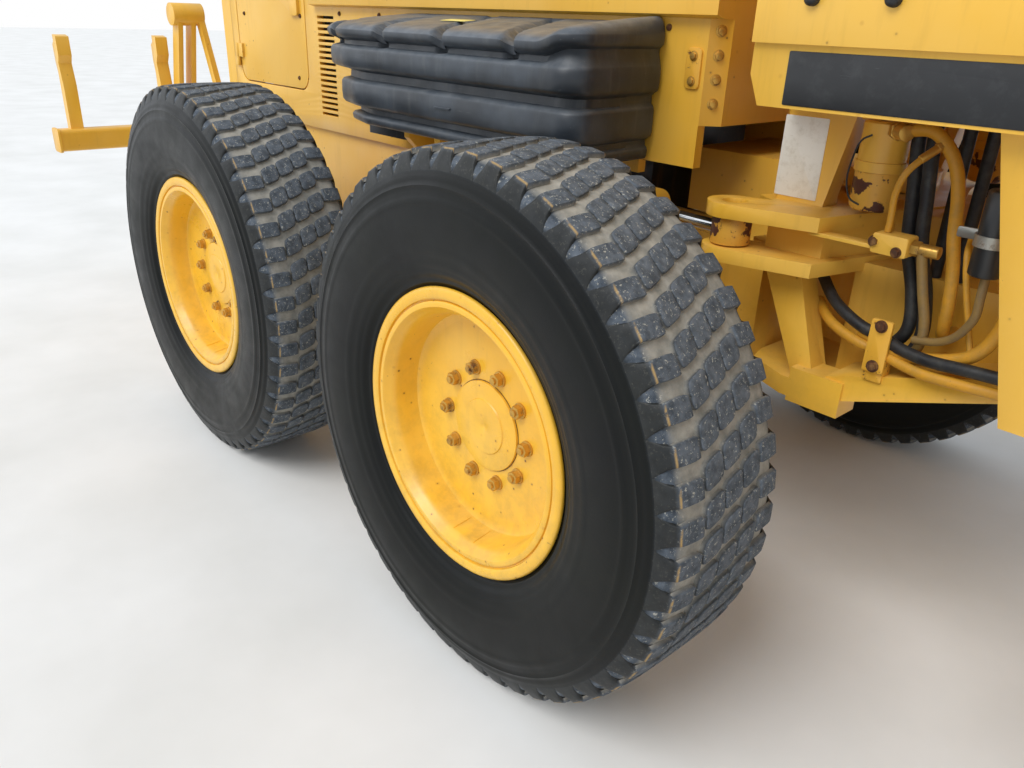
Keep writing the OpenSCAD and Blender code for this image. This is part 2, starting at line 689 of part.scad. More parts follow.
module cab_interior() {
  z0 = cab_floor + wall;
  color(BLACK) {
    block(1420, 1840, -180, 180, z0, z0 + 330);
    side_plate([[1400, z0 + 329], [1900, z0 + 329], [1920, z0 + 400],
      [1880, z0 + 450], [1520, z0 + 430], [1440, z0 + 470], [1390, z0 + 1020],
      [1330, z0 + 1050], [1290, z0 + 1000], [1360, z0 + 420]], -250, 250);
    both_sides() side_plate([[1460, z0 + 329], [1560, z0 + 329], [1560, z0 + 560],
      [1840, z0 + 590], [1840, z0 + 640], [1460, z0 + 620]], 249, 320);
    side_plate([[2120, z0], [2400, z0], [2440, z0 + 420], [2330, z0 + 820],
      [2220, z0 + 850], [2180, z0 + 800], [2300, z0 + 420]], -230, 230);
    translate([2190, 0, z0 + 880]) rotate([0, -30, 0])
      rotate_extrude($fn = 64) translate([205, 0]) circle(r = 15, $fn = 24);
    translate([2190, 0, z0 + 880]) rotate([0, -30, 0]) {
      cylinder(r = 45, h = 30, center = true, $fn = 32);
      for (a = [0, 120, 240]) rotate([0, 0, a]) translate([20, -12, -8])
        cube([185, 24, 16]);
    }
    bar_ab([2290, 0, z0 + 780], [2190, 0, z0 + 880], 30, 0, 136);
  }
}

module cab_door(s) {
  color(YELLOW) on_side(s) {
    difference() {
      block(door_a, door_b, cab_half - wall, cab_half, door_low, door_high);
      block(door_a + 90, door_b - 90, cab_half - wall - 2, cab_half + 2, pane_low,
        door_high - 90);
      block(door_a + 140, door_b - 90, cab_half - wall - 2, cab_half + 2,
        door_low + 110, pane_low - 90);
    }
    for (z = [door_low + 160 + run_fit, door_high - 180 + run_fit]) {
      bar_z(12, z, z + 60, door_a - 16, cab_half + 13);
      block(door_a - 14, door_a + 50, cab_half + 2, cab_half + 10, z, z + 60);
      block(door_a + 6, door_a + 50, cab_half - 1, cab_half + 3, z, z + 60);
    }
    bar_z(11, 2150, 2500, door_b - 45, cab_half + 42);
    for (z = [2160, 2480]) bar_y(8, cab_half - 1, cab_half + 42, door_b - 45, z);
  }
}

// Steps, lamps, hydraulics.
step_x0 = 2000;
step_x1 = 2340;
step_z = [700, 960, 1220];
module steps() {
  color(BLACK) both_sides() {
    for (x = [step_x0, step_x1])
      front_plate([[720, 690], [745, 690], [745, 1545], [cab_half, 1625],
        [cab_half, 1565], [720, 1485]], x - 12, x + 12);
    for (z = step_z) {
      block(step_x0 + 11, step_x1 - 11, 725, 900, z, z + 30);
      for (x = [step_x0, step_x1])
        side_plate([[x - 12, z], [x + 12, z], [x + 12, z + 30], [x - 12, z + 30]],
          744, 900);
    }
  }
}

module lamps() {
  color(BLACK) {
    both_sides() {
      bar_x(70, cab_front - 50, cab_front + 40, 560, cab_top + 165);
      block(cab_front - 30, cab_front - 10, 545, 575, cab_top + 85, cab_top + 110);
      bar_z(14, 1340, 1520, axle_x + 440, 240);
      bar_x(85, axle_x + 400, axle_x + 470, 240, 1590);
    }
  }
}

// Hose routes of the right bay: radius, then the points passed through.
hose_routes = [
  [14, [[1305.62, 377.62, 1386], [1324.57, 396.57, 1386], [1386, 402, 1396],
    [1424, 400, 1374], [1455, 400, 1331], [1474, 400, 1271], [1486, 400, 1188],
    [1502, 400, 1111], [1511, 400, 1037], [1508, 385, 975], [1500, 340, 950],
    [1500, 290.2, 950]]],
  [15, [[1345, 350, 1619.8], [1345, 350, 1380], [1361, 350, 1244], [1377, 356, 1143],
    [1415, 368, 1044], [1430, 375, 966], [1413, 375, 922], [1380, 375, 900],
    [1335, 362, 893], [1320, 330, 893], [1320, 290.2, 893]]],
  [15, [[1379, 352, 1619.8], [1379, 352, 1383], [1395, 356, 1247], [1411, 364, 1146],
    [1449, 376, 1047], [1464, 380, 950], [1440, 380, 890], [1390, 376, 866],
    [1350, 345, 864], [1350, 290.2, 864]]]];

module hose(r, p) {
  for (i = [0:len(p) - 2]) bar_ab(p[i], p[i + 1], r, 0, norm(p[i + 1] - p[i]));
  for (i = [1:len(p) - 2]) translate(p[i]) sphere(r = r + 0.5, $fn = 32);
}

module hydraulic_unit() {
  color(YELLOW) {
    // filter canisters hung from the cross member
    both_sides() {
      bar_z(53, flange_up + 50, 1400, 1268, 340);
      bar_z(57, 1290, 1312, 1268, 340);
      bar_z(24, 1399, beam_low, 1228, 340);
    }
    on_side(-1) {
      // valve block on its bracket under the upper flange
      block(1190, 1346, 430, 470, flange_up - 8, flange_up);
      block(1345, 1425, 425, 475, 1135, 1180);
      // slim filter with its strap, hung from the deck
      bar_z(28, 1145, 1315, 1600, 500);
      bar_z(33, 1205, 1228, 1600, 500);
      bar_z(10, 1314, cab_floor - 30, 1600, 500);
    }
  }
}

module hoses() {
  color(BLACK) {
    on_side(-1) for (h = hose_routes) hose(h[0], h[1]);
    for (x = [1420, 1470]) bar_z(14, 1060, cab_floor - 30, x, 270);
  }
}

// Drawbar, circle and blade.
module drawbar_joint() {
  color(STEEL) {
    bar_y(30, -153, 153, joint_x, joint_z);
    bar_z(30, joint_z - 85, joint_z + 85, joint_x, 0);
    block(joint_x - 50, joint_x + 50, -50, 50, joint_z - 40, joint_z + 40);
  }
}

drive_x = circle_x + 550;
module drawbar() {
  z0 = 905;
  z1 = 985;
  color(YELLOW) {
    difference() {
      union() {
        plan_plate([[circle_x - 450, -700], [circle_x - 230, -700], [joint_x - 350, -90],
          [joint_x - 110, -90], [joint_x - 110, 90], [joint_x - 350, 90],
          [circle_x - 230, 700], [circle_x - 450, 700]], z0, z1);
        for (z = [850, 980]) {
          bar_z(85, z, z + 30, joint_x, 0);
          block(joint_x - 190, joint_x, -85, 85, z, z + 30);
        }
        block(joint_x - 190, joint_x - 100, -85, 85, 850, 1010);
        both_sides() {
          bar_z(45, z1 - 1, lift_eye[2] - 62, lift_eye[0], lift_eye[1]);
          // shoes beside the circle
          for (a = [25, 120]) translate([circle_x, 0, 0]) rotate([0, 0, a])
            block(circle_r + 2, circle_r + 50, -60, 60, 810, z0 + 1);
          for (a = [30, 118]) translate([circle_x, 0, 0]) rotate([0, 0, a])
            block(circle_r - 70, circle_r - 10, -40, 40, 885.5, z0 + 1);
        }
        // circle drive gearbox
        bar_z(150, z1 - 1, z1 + 120, drive_x, 0);
        bar_x(70, drive_x, drive_x + 260, 0, z1 + 65);
        bar_z(95, 812, z0 + 1, drive_x, 0);
      }
      plan_plate([[circle_x - 190, -480], [circle_x + 400, -330], [circle_x + 400, 330],
        [circle_x - 190, 480]], z0 - 1, z1 + 1);
      bar_z(30 + run_fit, 840, 1020, joint_x, 0);
    }
  }
}

arm_y = 520;
tip_pin = [circle_x - 280, 0, 230];
module circle_part() {
  color(YELLOW) {
    translate([circle_x, 0, 800]) difference() {
      cylinder(r = circle_r, h = 85, $fn = 120);
      translate([0, 0, -1]) cylinder(r = circle_r - 100, h = 87, $fn = 120);
    }
    both_sides() {
      side_plate([[circle_x - 510, 801], [circle_x - 330, 801], [circle_x - 230, 560],
        [circle_x - 220, 250], [circle_x - 250, 175], [circle_x - 320, 175],
        [circle_x - 360, 260], [circle_x - 380, 480]], arm_y, arm_y + 60);
      bar_y(35, 440, arm_y + 1, tip_pin[0], tip_pin[2]);
    }
    bar_y(45, -arm_y - 1, arm_y + 1, circle_x - 350, 690);
  }
}

rail_a = [190, 250];
rail_b = [470, 530];
rail_x0 = circle_x - 172;
rail_x1 = circle_x - 110;
curve_x = circle_x + 300;
curve_z = blade_rest + 302;
blade_half_angle = 46;
module blade_carrier() {
  color(YELLOW) both_sides() difference() {
    side_plate([[circle_x - 330, 180], [circle_x - 250, 130], [circle_x - 135, 130],
      [circle_x - 135, 590], [circle_x - 210, 590], [circle_x - 270, 400],
      [circle_x - 330, 290]], 440, 500);
    for (z = [rail_a, rail_b])
      block(rail_x0 - run_fit, rail_x1, 430, 510, z[0] - run_fit, z[1] + run_fit);
    bar_y(35 + run_fit, 430, 510, tip_pin[0], tip_pin[2]);
  }
  color(YELLOW) bar_y(30, -441, 441, circle_x - 220, 350);
}

module moldboard() {
  half = blade_len / 2;
  color(YELLOW) {
    translate([curve_x, half, curve_z]) rotate([90, 0, 0])
      rotate([0, 0, 180 - blade_half_angle])
        rotate_extrude(angle = 2 * blade_half_angle, $fn = 120)
          translate([blade_r - blade_t, 0]) square([blade_t, blade_len]);
    for (z = [rail_a, rail_b])
      block(rail_x0, circle_x - 90, -1050, 1050, z[0], z[1]);
    // bolted cutting edge
    side_plate([[circle_x - 6, blade_rest], [circle_x + 28, blade_rest],
      [circle_x - 50, 168], [circle_x - 74, 152]],
      -half + 6, half - 6);
  }
}

// Lift rams.
module lift_barrel(s) {
  color(YELLOW) on_side(s) {
    u = (lift_eye - lift_foot) / norm(lift_eye - lift_foot);
    top = lift_foot - 860 * u;
    difference() {
      union() {
        bar_ab(top, lift_eye, 55, 0, 860 + 130);
        bar_ab(top, lift_eye, 64, 860 + 90, 860 + 140);
        bar_x(32, saddle_x - 104, saddle_x + 104, lift_foot[1], lift_foot[2]);
      }
      bar_ab(top, lift_eye, 30 + run_fit, 30, 860 + 141);
    }
  }
}
module lift_rod(s) {
  color(STEEL) on_side(s) {
    u = (lift_eye - lift_foot) / norm(lift_eye - lift_foot);
    top = lift_foot - 480 * u;
    len = norm(lift_eye - top);
    bar_ab(top, lift_eye, 30, 0, len - 20);
    bar_x(40, saddle_x - 35, saddle_x + 35, lift_eye[1], lift_eye[2]);
  }
}
// Articulation rams.
module artic_barrel(s) {
  color(YELLOW) on_side(s) ram_barrel(artic_foot, artic_eye, 520, 48, 25, "z", 50,
    35 - eye_gap, ram_pin);
}
module artic_rod(s) {
  color(STEEL) on_side(s) ram_rod(artic_foot, artic_eye, 300, 25, "z", 50, 33);
}

// Front axle.
lean_z = 560;
top_bar_z = 960;
arm_back = 200;
arm_z = 720;
module front_axle() {
  color(YELLOW) {
    difference() {
      union() {
        front_plate([[100 - lean_y, 576], [-280, 730], [-95, 890], [95, 890], [280, 730],
          [lean_y - 100, 576], [lean_y, 590], [lean_y, 520], [lean_y - 100, 500],
          [240, 610], [-240, 610], [100 - lean_y, 500], [-lean_y, 520], [-lean_y, 590]],
          axle_x - 80, axle_x + 80);
        bar_x(100, axle_x - 110, axle_x + 110, 0, 800);
      }
      bar_x(45 + run_fit, axle_x - 120, axle_x + 120, 0, 800);
      both_sides() block(axle_x - 90, axle_x + 90, lean_y - 70, lean_y + 2, 490, 620);
    }
    both_sides() difference() {
      union() {
        bar_x(50, axle_x - 60, axle_x + 60, lean_y, lean_z);
        block(axle_x - 60, axle_x + 60, lean_y - 75, lean_y, 525, 595);
      }
      bar_x(28 + run_fit, axle_x - 90, axle_x + 90, lean_y, lean_z);
    }
    // steering ram barrel with its brackets
    difference() {
      union() {
        bar_y(38, -330, 330, axle_x - arm_back, arm_z);
        both_sides() block(axle_x - arm_back - 45, axle_x - 79, 240, 290, arm_z - 60,
          arm_z + 45);
      }
      bar_y(22 + run_fit, -331, 331, axle_x - arm_back, arm_z);
    }
  }
}

module lean_bracket(s) {
  color(YELLOW) on_side(s) {
    // fork around the axle's eye
    for (x = [axle_x - 122, axle_x + 64])
      front_plate([[lean_y - 50, 520], [lean_y - 50, 650], [lean_y + 50, 650],
        [lean_y + 50, 440], [lean_y + 20, 440]], x, x + 58);
    bar_x(28, axle_x - 121, axle_x + 121, lean_y, lean_z);
    block(axle_x - 122, axle_x + 122, lean_y - 40, lean_y + 50, 640, 664);
    // column up to the lean bar
    block(axle_x - 30, axle_x + 30, lean_y - 30, lean_y + 32, 663, 905);
    for (x = [axle_x - 50, axle_x + 26])
      front_plate([[lean_y - 30, 880], [lean_y - 30, 995], [lean_y + 30, 995],
        [lean_y + 32, 880]], x, x + 24);
    // arms that hold the kingpin
    block(axle_x - 122, axle_x + 122, lean_y + 10, lean_y + 50, 440, 495);
    for (z = [[445, 495], [860, 905]]) {
      block(axle_x - 45, axle_x + 45, lean_y + 31, king_y, z[0], z[1]);
      bar_z(48, z[0], z[1], axle_x, king_y);
    }
    bar_z(30, 446, 904, axle_x, king_y);
  }
}

module knuckle(s) {
  color(YELLOW) on_side(s) {
    difference() {
      union() {
        bar_z(50, 500, 855, axle_x, king_y);
        bar_y(100, king_y + 30, king_y + 95, axle_x, wheel_z);
        bar_y(hub_bore, king_y + 30, track_half + 40, axle_x, wheel_z);
        // steering arm: two leaves around the ram's eye
        for (z = [arm_z - 46, arm_z + 34])
          plan_plate([[axle_x - 30, king_y + 30], [axle_x - 120, king_y + 20],
            [axle_x - arm_back - 30, lean_y + 40], [axle_x - arm_back - 30, lean_y - 20],
            [axle_x - arm_back + 20, lean_y - 20], [axle_x - 125, king_y - 22],
            [axle_x - 30, king_y - 25]], z, z + 12);
      }
      bar_z(30 + run_fit, 499, 856, axle_x, king_y);
    }
  }
}

module steer_rod() {
  color(STEEL) {
    bar_y(22, -lean_y + 100, lean_y - 100, axle_x - arm_back, arm_z);
    both_sides() {
      bar_y(11, lean_y - 101, lean_y - 20, axle_x - arm_back, arm_z);
      bar_z(30, arm_z - 12, arm_z + 12, axle_x - arm_back, lean_y);
    }
  }
}

module lean_bar() {
  color(YELLOW) {
    bar_y(18, -lean_y + 20, lean_y - 20, axle_x, top_bar_z);
    both_sides() bar_x(26, axle_x - 26 + run_fit, axle_x + 26 - run_fit, lean_y, top_bar_z);
  }
}

// Assembly.
half_sp = tandem_spacing / 2;
at_datum() {
  rear_frame();
  rear_axle();
  powertrain();
  hood();
  radiator_grille();
  fuel_tank();
  exhaust_intake();
  engine_door(-1);  // engine_door_r
  engine_door(1);  // engine_door_l
  tandem_case(-1);  // tandem_case_r
  tandem_case(1);  // tandem_case_l
  on_side(-1) tyre(half_sp);  // tyre_front_tandem_r
  on_side(-1) rim(half_sp, rear_hub_in);  // rim_front_tandem_r
  on_side(-1) tyre(-half_sp);  // tyre_rear_tandem_r
  on_side(-1) rim(-half_sp, rear_hub_in);  // rim_rear_tandem_r
  tyre(half_sp);  // tyre_front_tandem_l
  rim(half_sp, rear_hub_in);  // rim_front_tandem_l
  tyre(-half_sp);  // tyre_rear_tandem_l
  rim(-half_sp, rear_hub_in);  // rim_rear_tandem_l
  ripper();
  ripper_barrel();
  ripper_rod();
  front_frame();
  cab();
  cab_glass();
  cab_interior();
  cab_door(-1);  // cab_door_r
  cab_door(1);  // cab_door_l
  steps();
  lamps();
  hydraulic_unit();
  hoses();
  drawbar_joint();
  drawbar();
  circle_part();  // circle
  blade_carrier();
  moldboard();
  lift_barrel(-1);  // lift_barrel_r
  lift_rod(-1);  // lift_rod_r
  lift_barrel(1);  // lift_barrel_l
  lift_rod(1);  // lift_rod_l
  artic_barrel(-1);  // artic_barrel_r
  artic_rod(-1);  // artic_rod_r
  artic_barrel(1);  // artic_barrel_l
  artic_rod(1);  // artic_rod_l
  front_axle();
  lean_bracket(-1);  // lean_bracket_r
  lean_bracket(1);  // lean_bracket_l
  knuckle(-1);  // knuckle_r
  knuckle(1);  // knuckle_l
  on_side(-1) tyre(axle_x);  // tyre_steer_r
  on_side(-1) rim(axle_x, front_hub_in);  // rim_steer_r
  tyre(axle_x);  // tyre_steer_l
  rim(axle_x, front_hub_in);  // rim_steer_l
  steer_rod();
  lean_bar();
}
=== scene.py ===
import json
import logging
import math
from dataclasses import dataclass
from enum import Enum
from typing import Sequence

import bmesh
import bpy
import numpy as np
from mathutils import Matrix

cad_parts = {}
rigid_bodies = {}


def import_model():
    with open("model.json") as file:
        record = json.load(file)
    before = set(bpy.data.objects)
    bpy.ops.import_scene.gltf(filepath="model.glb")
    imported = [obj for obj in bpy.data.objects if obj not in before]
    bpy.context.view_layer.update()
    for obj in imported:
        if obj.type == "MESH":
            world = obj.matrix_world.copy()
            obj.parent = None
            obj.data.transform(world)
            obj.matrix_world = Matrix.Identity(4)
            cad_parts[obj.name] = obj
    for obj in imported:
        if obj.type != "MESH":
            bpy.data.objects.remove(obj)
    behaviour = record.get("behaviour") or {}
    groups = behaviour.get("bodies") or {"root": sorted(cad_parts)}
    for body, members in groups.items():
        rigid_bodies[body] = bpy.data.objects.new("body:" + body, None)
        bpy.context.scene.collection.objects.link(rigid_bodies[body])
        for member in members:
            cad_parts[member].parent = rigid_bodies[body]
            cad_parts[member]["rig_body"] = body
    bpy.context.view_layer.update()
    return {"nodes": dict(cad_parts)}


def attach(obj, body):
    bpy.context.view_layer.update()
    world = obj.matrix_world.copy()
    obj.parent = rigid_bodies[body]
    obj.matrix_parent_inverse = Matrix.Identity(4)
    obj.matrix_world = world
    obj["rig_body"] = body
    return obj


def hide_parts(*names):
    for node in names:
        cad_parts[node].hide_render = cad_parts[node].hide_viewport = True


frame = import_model()

logging.basicConfig(level=logging.INFO, format="%(message)s")
LOG = logging.getLogger("grader")

# Driving sizes in millimetres, as in part.scad. DATUM_X is the way from the tandem pivot to
# the middle of the machine, where the origin is; WHEEL_Z is a wheel's radius and the height
# of its centre; TRACK_HALF, AXLE_X and TANDEM_HALF place the wheels. MM is millimetres in a
# metre.
DATUM_X = 2008.5
WHEEL_Z = 672.0
TRACK_HALF = 1050.0
AXLE_X = 6200.0
TANDEM_HALF = 787.5
MM = 1000.0


class Side(Enum):
    """The two sides of the machine; the value is the sign of +Y."""

    RIGHT = -1
    LEFT = 1


# Mesh building.


@dataclass
class Patch:
    """A surface: points in millimetres from the tandem pivot, its faces, and the
    per-point values that the finishes read."""

    points: np.ndarray
    faces: list[np.ndarray]
    marks: dict[str, np.ndarray]

    def mirrored(self) -> "Patch":
        """The same surface on the other side: y is negated and faces are turned round."""
        return Patch(self.points * (1, -1, 1), [f[:, ::-1] for f in self.faces], self.marks)

    def moved(self, dx: float, dy: float, dz: float) -> "Patch":
        """The same surface shifted by a vector in millimetres."""
        return Patch(self.points + (dx, dy, dz), self.faces, self.marks)


def joined(patches: Sequence[Patch]) -> Patch:
    """Puts several surfaces into one, shifting each one's face numbers by the points before it.

    Args:
        patches: the surfaces to gather.

    Returns:
        One surface that holds them all.
    """
    starts = np.cumsum([0] + [len(p.points) for p in patches[:-1]])
    names = sorted({n for p in patches for n in p.marks})
    marks = {n: np.concatenate([p.marks.get(n, np.zeros(len(p.points))) for p in patches])
             for n in names}
    faces = [f + s for p, s in zip(patches, starts) for f in p.faces]
    return Patch(np.concatenate([p.points for p in patches]), faces, marks)


def grid_patch(points: np.ndarray, wrap_u: bool = False, wrap_v: bool = False,
               **marks: np.ndarray) -> Patch:
    """Quads between the neighbours of a grid of points.

    Args:
        points: array (nu, nv, 3); v turns left from u when seen from outside.
        wrap_u: the last row joins the first.
        wrap_v: the last column joins the first.
        marks: per-point values of shape (nu, nv).

    Returns:
        The surface.
    """
    nu, nv = points.shape[:2]
    index = np.arange(nu * nv).reshape(nu, nv)
    if wrap_u:
        index = np.concatenate([index, index[:1]], 0)
    if wrap_v:
        index = np.concatenate([index, index[:, :1]], 1)
    quads = np.stack([index[:-1, :-1], index[1:, :-1], index[1:, 1:], index[:-1, 1:]], -1)
    flat = {n: np.broadcast_to(m, (nu, nv)).reshape(-1) for n, m in marks.items()}
    return Patch(points.reshape(-1, 3), [quads.reshape(-1, 4)], flat)


def smooth_path(knots: np.ndarray, count: int) -> np.ndarray:
    """Points on the Catmull-Rom curve through the knots: each stretch is the cubic whose
    slopes at its ends are half the chord of the knots on either side.

    Args:
        knots: array (n, d) of points that the curve passes through.
        count: how many points to return, evenly spread over the knots.

    Returns:
        Array (count, d).
    """
    ends = np.concatenate([2 * knots[:1] - knots[1:2], knots, 2 * knots[-1:] - knots[-2:-1]])
    t = np.linspace(0, len(knots) - 1 - 1e-9, count)
    i = t.astype(int)
    f = (t - i)[:, None]
    a, b, c, d = ends[i], ends[i + 1], ends[i + 2], ends[i + 3]
    return 0.5 * (2 * b + (c - a) * f + (2 * a - 5 * b + 4 * c - d) * f ** 2
                  + (3 * b - a - 3 * c + d) * f ** 3)


def turned(profile: np.ndarray, centre: Sequence[float], segments: int,
           axis: str = "y", closed: bool = True, **marks: np.ndarray) -> Patch:
    """Surface of revolution: a profile of (radius, station) carried round an axis.

    Args:
        profile: array (n, 2); seen with the axis to the right it runs clockwise.
        centre: the point on the axis that the stations count from.
        segments: steps round the axis.
        axis: "x", "y" or "z".
        closed: the profile's end joins its start.
        marks: per-profile-point values.

    Returns:
        The surface.
    """
    angle = np.linspace(0, 2 * math.pi, segments, endpoint=False)[:, None]
    radius, station = profile[None, :, 0], profile[None, :, 1] + 0 * angle
    across, up = radius * np.sin(angle), radius * np.cos(angle)
    order = {"y": (across, station, up), "x": (station, up, across), "z": (up, across, station)}
    points = np.stack(order[axis], -1) + np.asarray(centre, float)
    wide = {n: np.broadcast_to(m[None, :], points.shape[:2]) for n, m in marks.items()}
    return grid_patch(points, wrap_u=True, wrap_v=closed, **wide)


def swept_tube(path: np.ndarray, radius: np.ndarray | float, sides: int = 14) -> Patch:
    """A round tube along a path: a circle is set square to the path at each point, on a
    frame that turns as little as it can, and both ends are closed by a small dome.

    Args:
        path: array (n, 3) in millimetres.
        radius: one radius, or one for each point.
        sides: points round the tube.

    Returns:
        The closed surface.
    """
    step = np.gradient(path, axis=0)
    along = step / np.linalg.norm(step, axis=1, keepdims=True)
    up = np.zeros_like(path)
    seed = np.array([0.0, 0, 1]) if abs(along[0, 2]) < 0.9 else np.array([1.0, 0, 0])
    for i, direction in enumerate(along):
        seed = seed - direction * seed.dot(direction)
        seed = seed / np.linalg.norm(seed)
        up[i] = seed
    side = np.cross(along, up)
    r = np.broadcast_to(radius, len(path)).astype(float)
    angle = np.linspace(0, 2 * math.pi, sides, endpoint=False)
    ring = np.cos(angle)[None, :, None] * up[:, None] + np.sin(angle)[None, :, None] * side[:, None]
    body = path[:, None] + ring * r[:, None, None]
    cap0 = path[0] - along[0] * r[0] * 0.25 + (body[0] - path[0]) * 0.02
    cap1 = path[-1] + along[-1] * r[-1] * 0.25 + (body[-1] - path[-1]) * 0.02
    tube = grid_patch(np.concatenate([cap0[None], body, cap1[None]]), wrap_v=True)
    n = len(tube.points)
    lids = np.stack([np.arange(sides)[::-1], np.arange(n - sides, n)])
    tube.faces = [f[:, ::-1] for f in tube.faces] + [lids[:, ::-1]]
    return tube


def prism(outline: np.ndarray, height: float, origin: np.ndarray, u: np.ndarray, v: np.ndarray,
          bevel: float = 1.0) -> Patch:
    """A plate with a rounded upper edge: the outline is carried up, then drawn in towards
    its middle by the bevel as it reaches the height.

    Args:
        outline: array (n, 2), counter-clockwise in u and v.
        height: thickness along u x v.
        origin: where the outline's zero lies.
        u: unit vector of the first outline axis.
        v: unit vector of the second.
        bevel: width of the rounded edge.

    Returns:
        The closed surface.
    """
    normal = np.cross(u, v)
    middle = outline.mean(0)
    out = outline - middle
    size = np.linalg.norm(out, axis=1, keepdims=True)
    rings = [(0, 0), (height - bevel, 0), (height - bevel * 0.3, bevel * 0.3), (height, bevel)]
    grid = np.stack([
        origin + (middle + out * (1 - inset / size)) @ np.stack([u, v]) + normal * level
        for level, inset in rings])
    body = grid_patch(grid, wrap_v=True)
    n = len(outline)
    body.faces = [f[:, ::-1] for f in body.faces]
    body.faces += [np.arange(n)[None, ::-1], (np.arange(n) + 3 * n)[None]]
    return body


def polygon(radius: float, sides: int, turn: float = 0.0) -> np.ndarray:
    """Corners of a regular polygon, counter-clockwise.

    Args:
        radius: centre to corner.
        sides: number of corners.
        turn: angle of the first corner in radians.

    Returns:
        Array (sides, 2).
    """
    a = np.linspace(0, 2 * math.pi, sides, endpoint=False) + turn
    return np.stack([np.cos(a), np.sin(a)], -1) * radius


def rounded_box_outline(width: float, height: float, radius: float, steps: int = 5) -> np.ndarray:
    """Outline of a rectangle whose corners are quarter circles, centred on zero.

    Args:
        width: size along u.
        height: size along v.
        radius: corner radius.
        steps: points for each corner.

    Returns:
        Array (4 * steps, 2), counter-clockwise.
    """
    a = np.linspace(0, math.pi / 2, steps)
    corner = np.stack([np.cos(a), np.sin(a)], -1) * radius
    half = np.array([width / 2 - radius, height / 2 - radius])
    parts = []
    for turn, sign in enumerate([(1, 1), (-1, 1), (-1, -1), (1, -1)]):
        c, s = math.cos(turn * math.pi / 2), math.sin(turn * math.pi / 2)
        parts.append(corner @ np.array([[c, s], [-s, c]]) + half * sign)
    return np.concatenate(parts)


X, Y, Z = np.eye(3)


def hex_bolt(centre: Sequence[float], normal: np.ndarray, size: float = 12.0,
             height: float = 9.0, washer: bool = True, turn: float = 0.0) -> Patch:
    """A hexagon bolt head with its washer: two prisms stacked along the normal.

    Args:
        centre: where the head meets the surface.
        normal: the way the head stands out.
        size: centre to corner of the hexagon.
        height: height of the hexagon.
        washer: whether a round washer lies under it.
        turn: angle of the first corner.

    Returns:
        The surface.
    """
    u = np.cross(normal, X if abs(normal[0]) < 0.9 else Y)
    u = u / np.linalg.norm(u)
    v = np.cross(normal, u)
    base = np.asarray(centre, float) - normal * 1.0
    parts = [prism(polygon(size, 6, turn), height + 3, base, u, v, size * 0.12)]
    if washer:
        parts.append(prism(polygon(size * 1.35, 16), 3.5, base, u, v, 0.6))
    return joined(parts)


def put(name: str, patch: Patch, finish: "Finish", body: str, *nodes: str,
        smooth_under: float = 40.0) -> bpy.types.Object:
    """Makes the object of a surface, in its finish, riding on a body.

    Args:
        name: plain name of the piece.
        patch: its surface, in millimetres from the tandem pivot.
        finish: the finish it wears.
        body: the CAD body it moves with.
        nodes: CAD nodes that it takes the place of.
        smooth_under: edges that turn less than this many degrees are shaded smooth.

    Returns:
        The new object.
    """
    mesh = bpy.data.meshes.new(name)
    points = (patch.points - (DATUM_X, 0, 0)) / MM
    faces = [row for block in patch.faces for row in block.tolist()]
    mesh.from_pydata(points.tolist(), [], faces)
    for mark, values in patch.marks.items():
        layer = mesh.attributes.new(mark, "FLOAT", "POINT")
        layer.data.foreach_set("value", np.ascontiguousarray(values, np.float32))
    work = bmesh.new()
    work.from_mesh(mesh)
    limit = math.radians(smooth_under)
    for face in work.faces:
        face.smooth = True
    for edge in work.edges:
        edge.smooth = len(edge.link_faces) == 2 and edge.calc_face_angle(0.0) < limit
    work.to_mesh(mesh)
    work.free()
    mesh.update()
    mesh.materials.append(finish.material())
    thing = bpy.data.objects.new(name, mesh)
    bpy.context.scene.collection.objects.link(thing)
    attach(thing, body)
    if nodes:
        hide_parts(*nodes)
    return thing


# FAR, in millimetres, stands for no bound. Points nearer than MERGE_DISTANCE metres become
# one, faces that turn less than FLAT_ANGLE are joined, and edges that turn more than
# EDGE_ANGLE are rounded.
FAR = 1e5
MERGE_DISTANCE = 2e-5
FLAT_ANGLE = math.radians(0.6)
EDGE_ANGLE = math.radians(32)


@dataclass(frozen=True)
class Zone:
    """A box of a node, in millimetres from the tandem pivot, that wears its own finish."""

    finish: "Finish"
    low: tuple[float, float, float] = (-FAR, -FAR, -FAR)
    high: tuple[float, float, float] = (FAR, FAR, FAR)

    def holds(self, centre: np.ndarray) -> bool:
        """Whether a point in metres of the frame lies in the box."""
        at = centre * MM + (DATUM_X, 0, 0)
        return bool(np.all(at > self.low) and np.all(at < self.high))


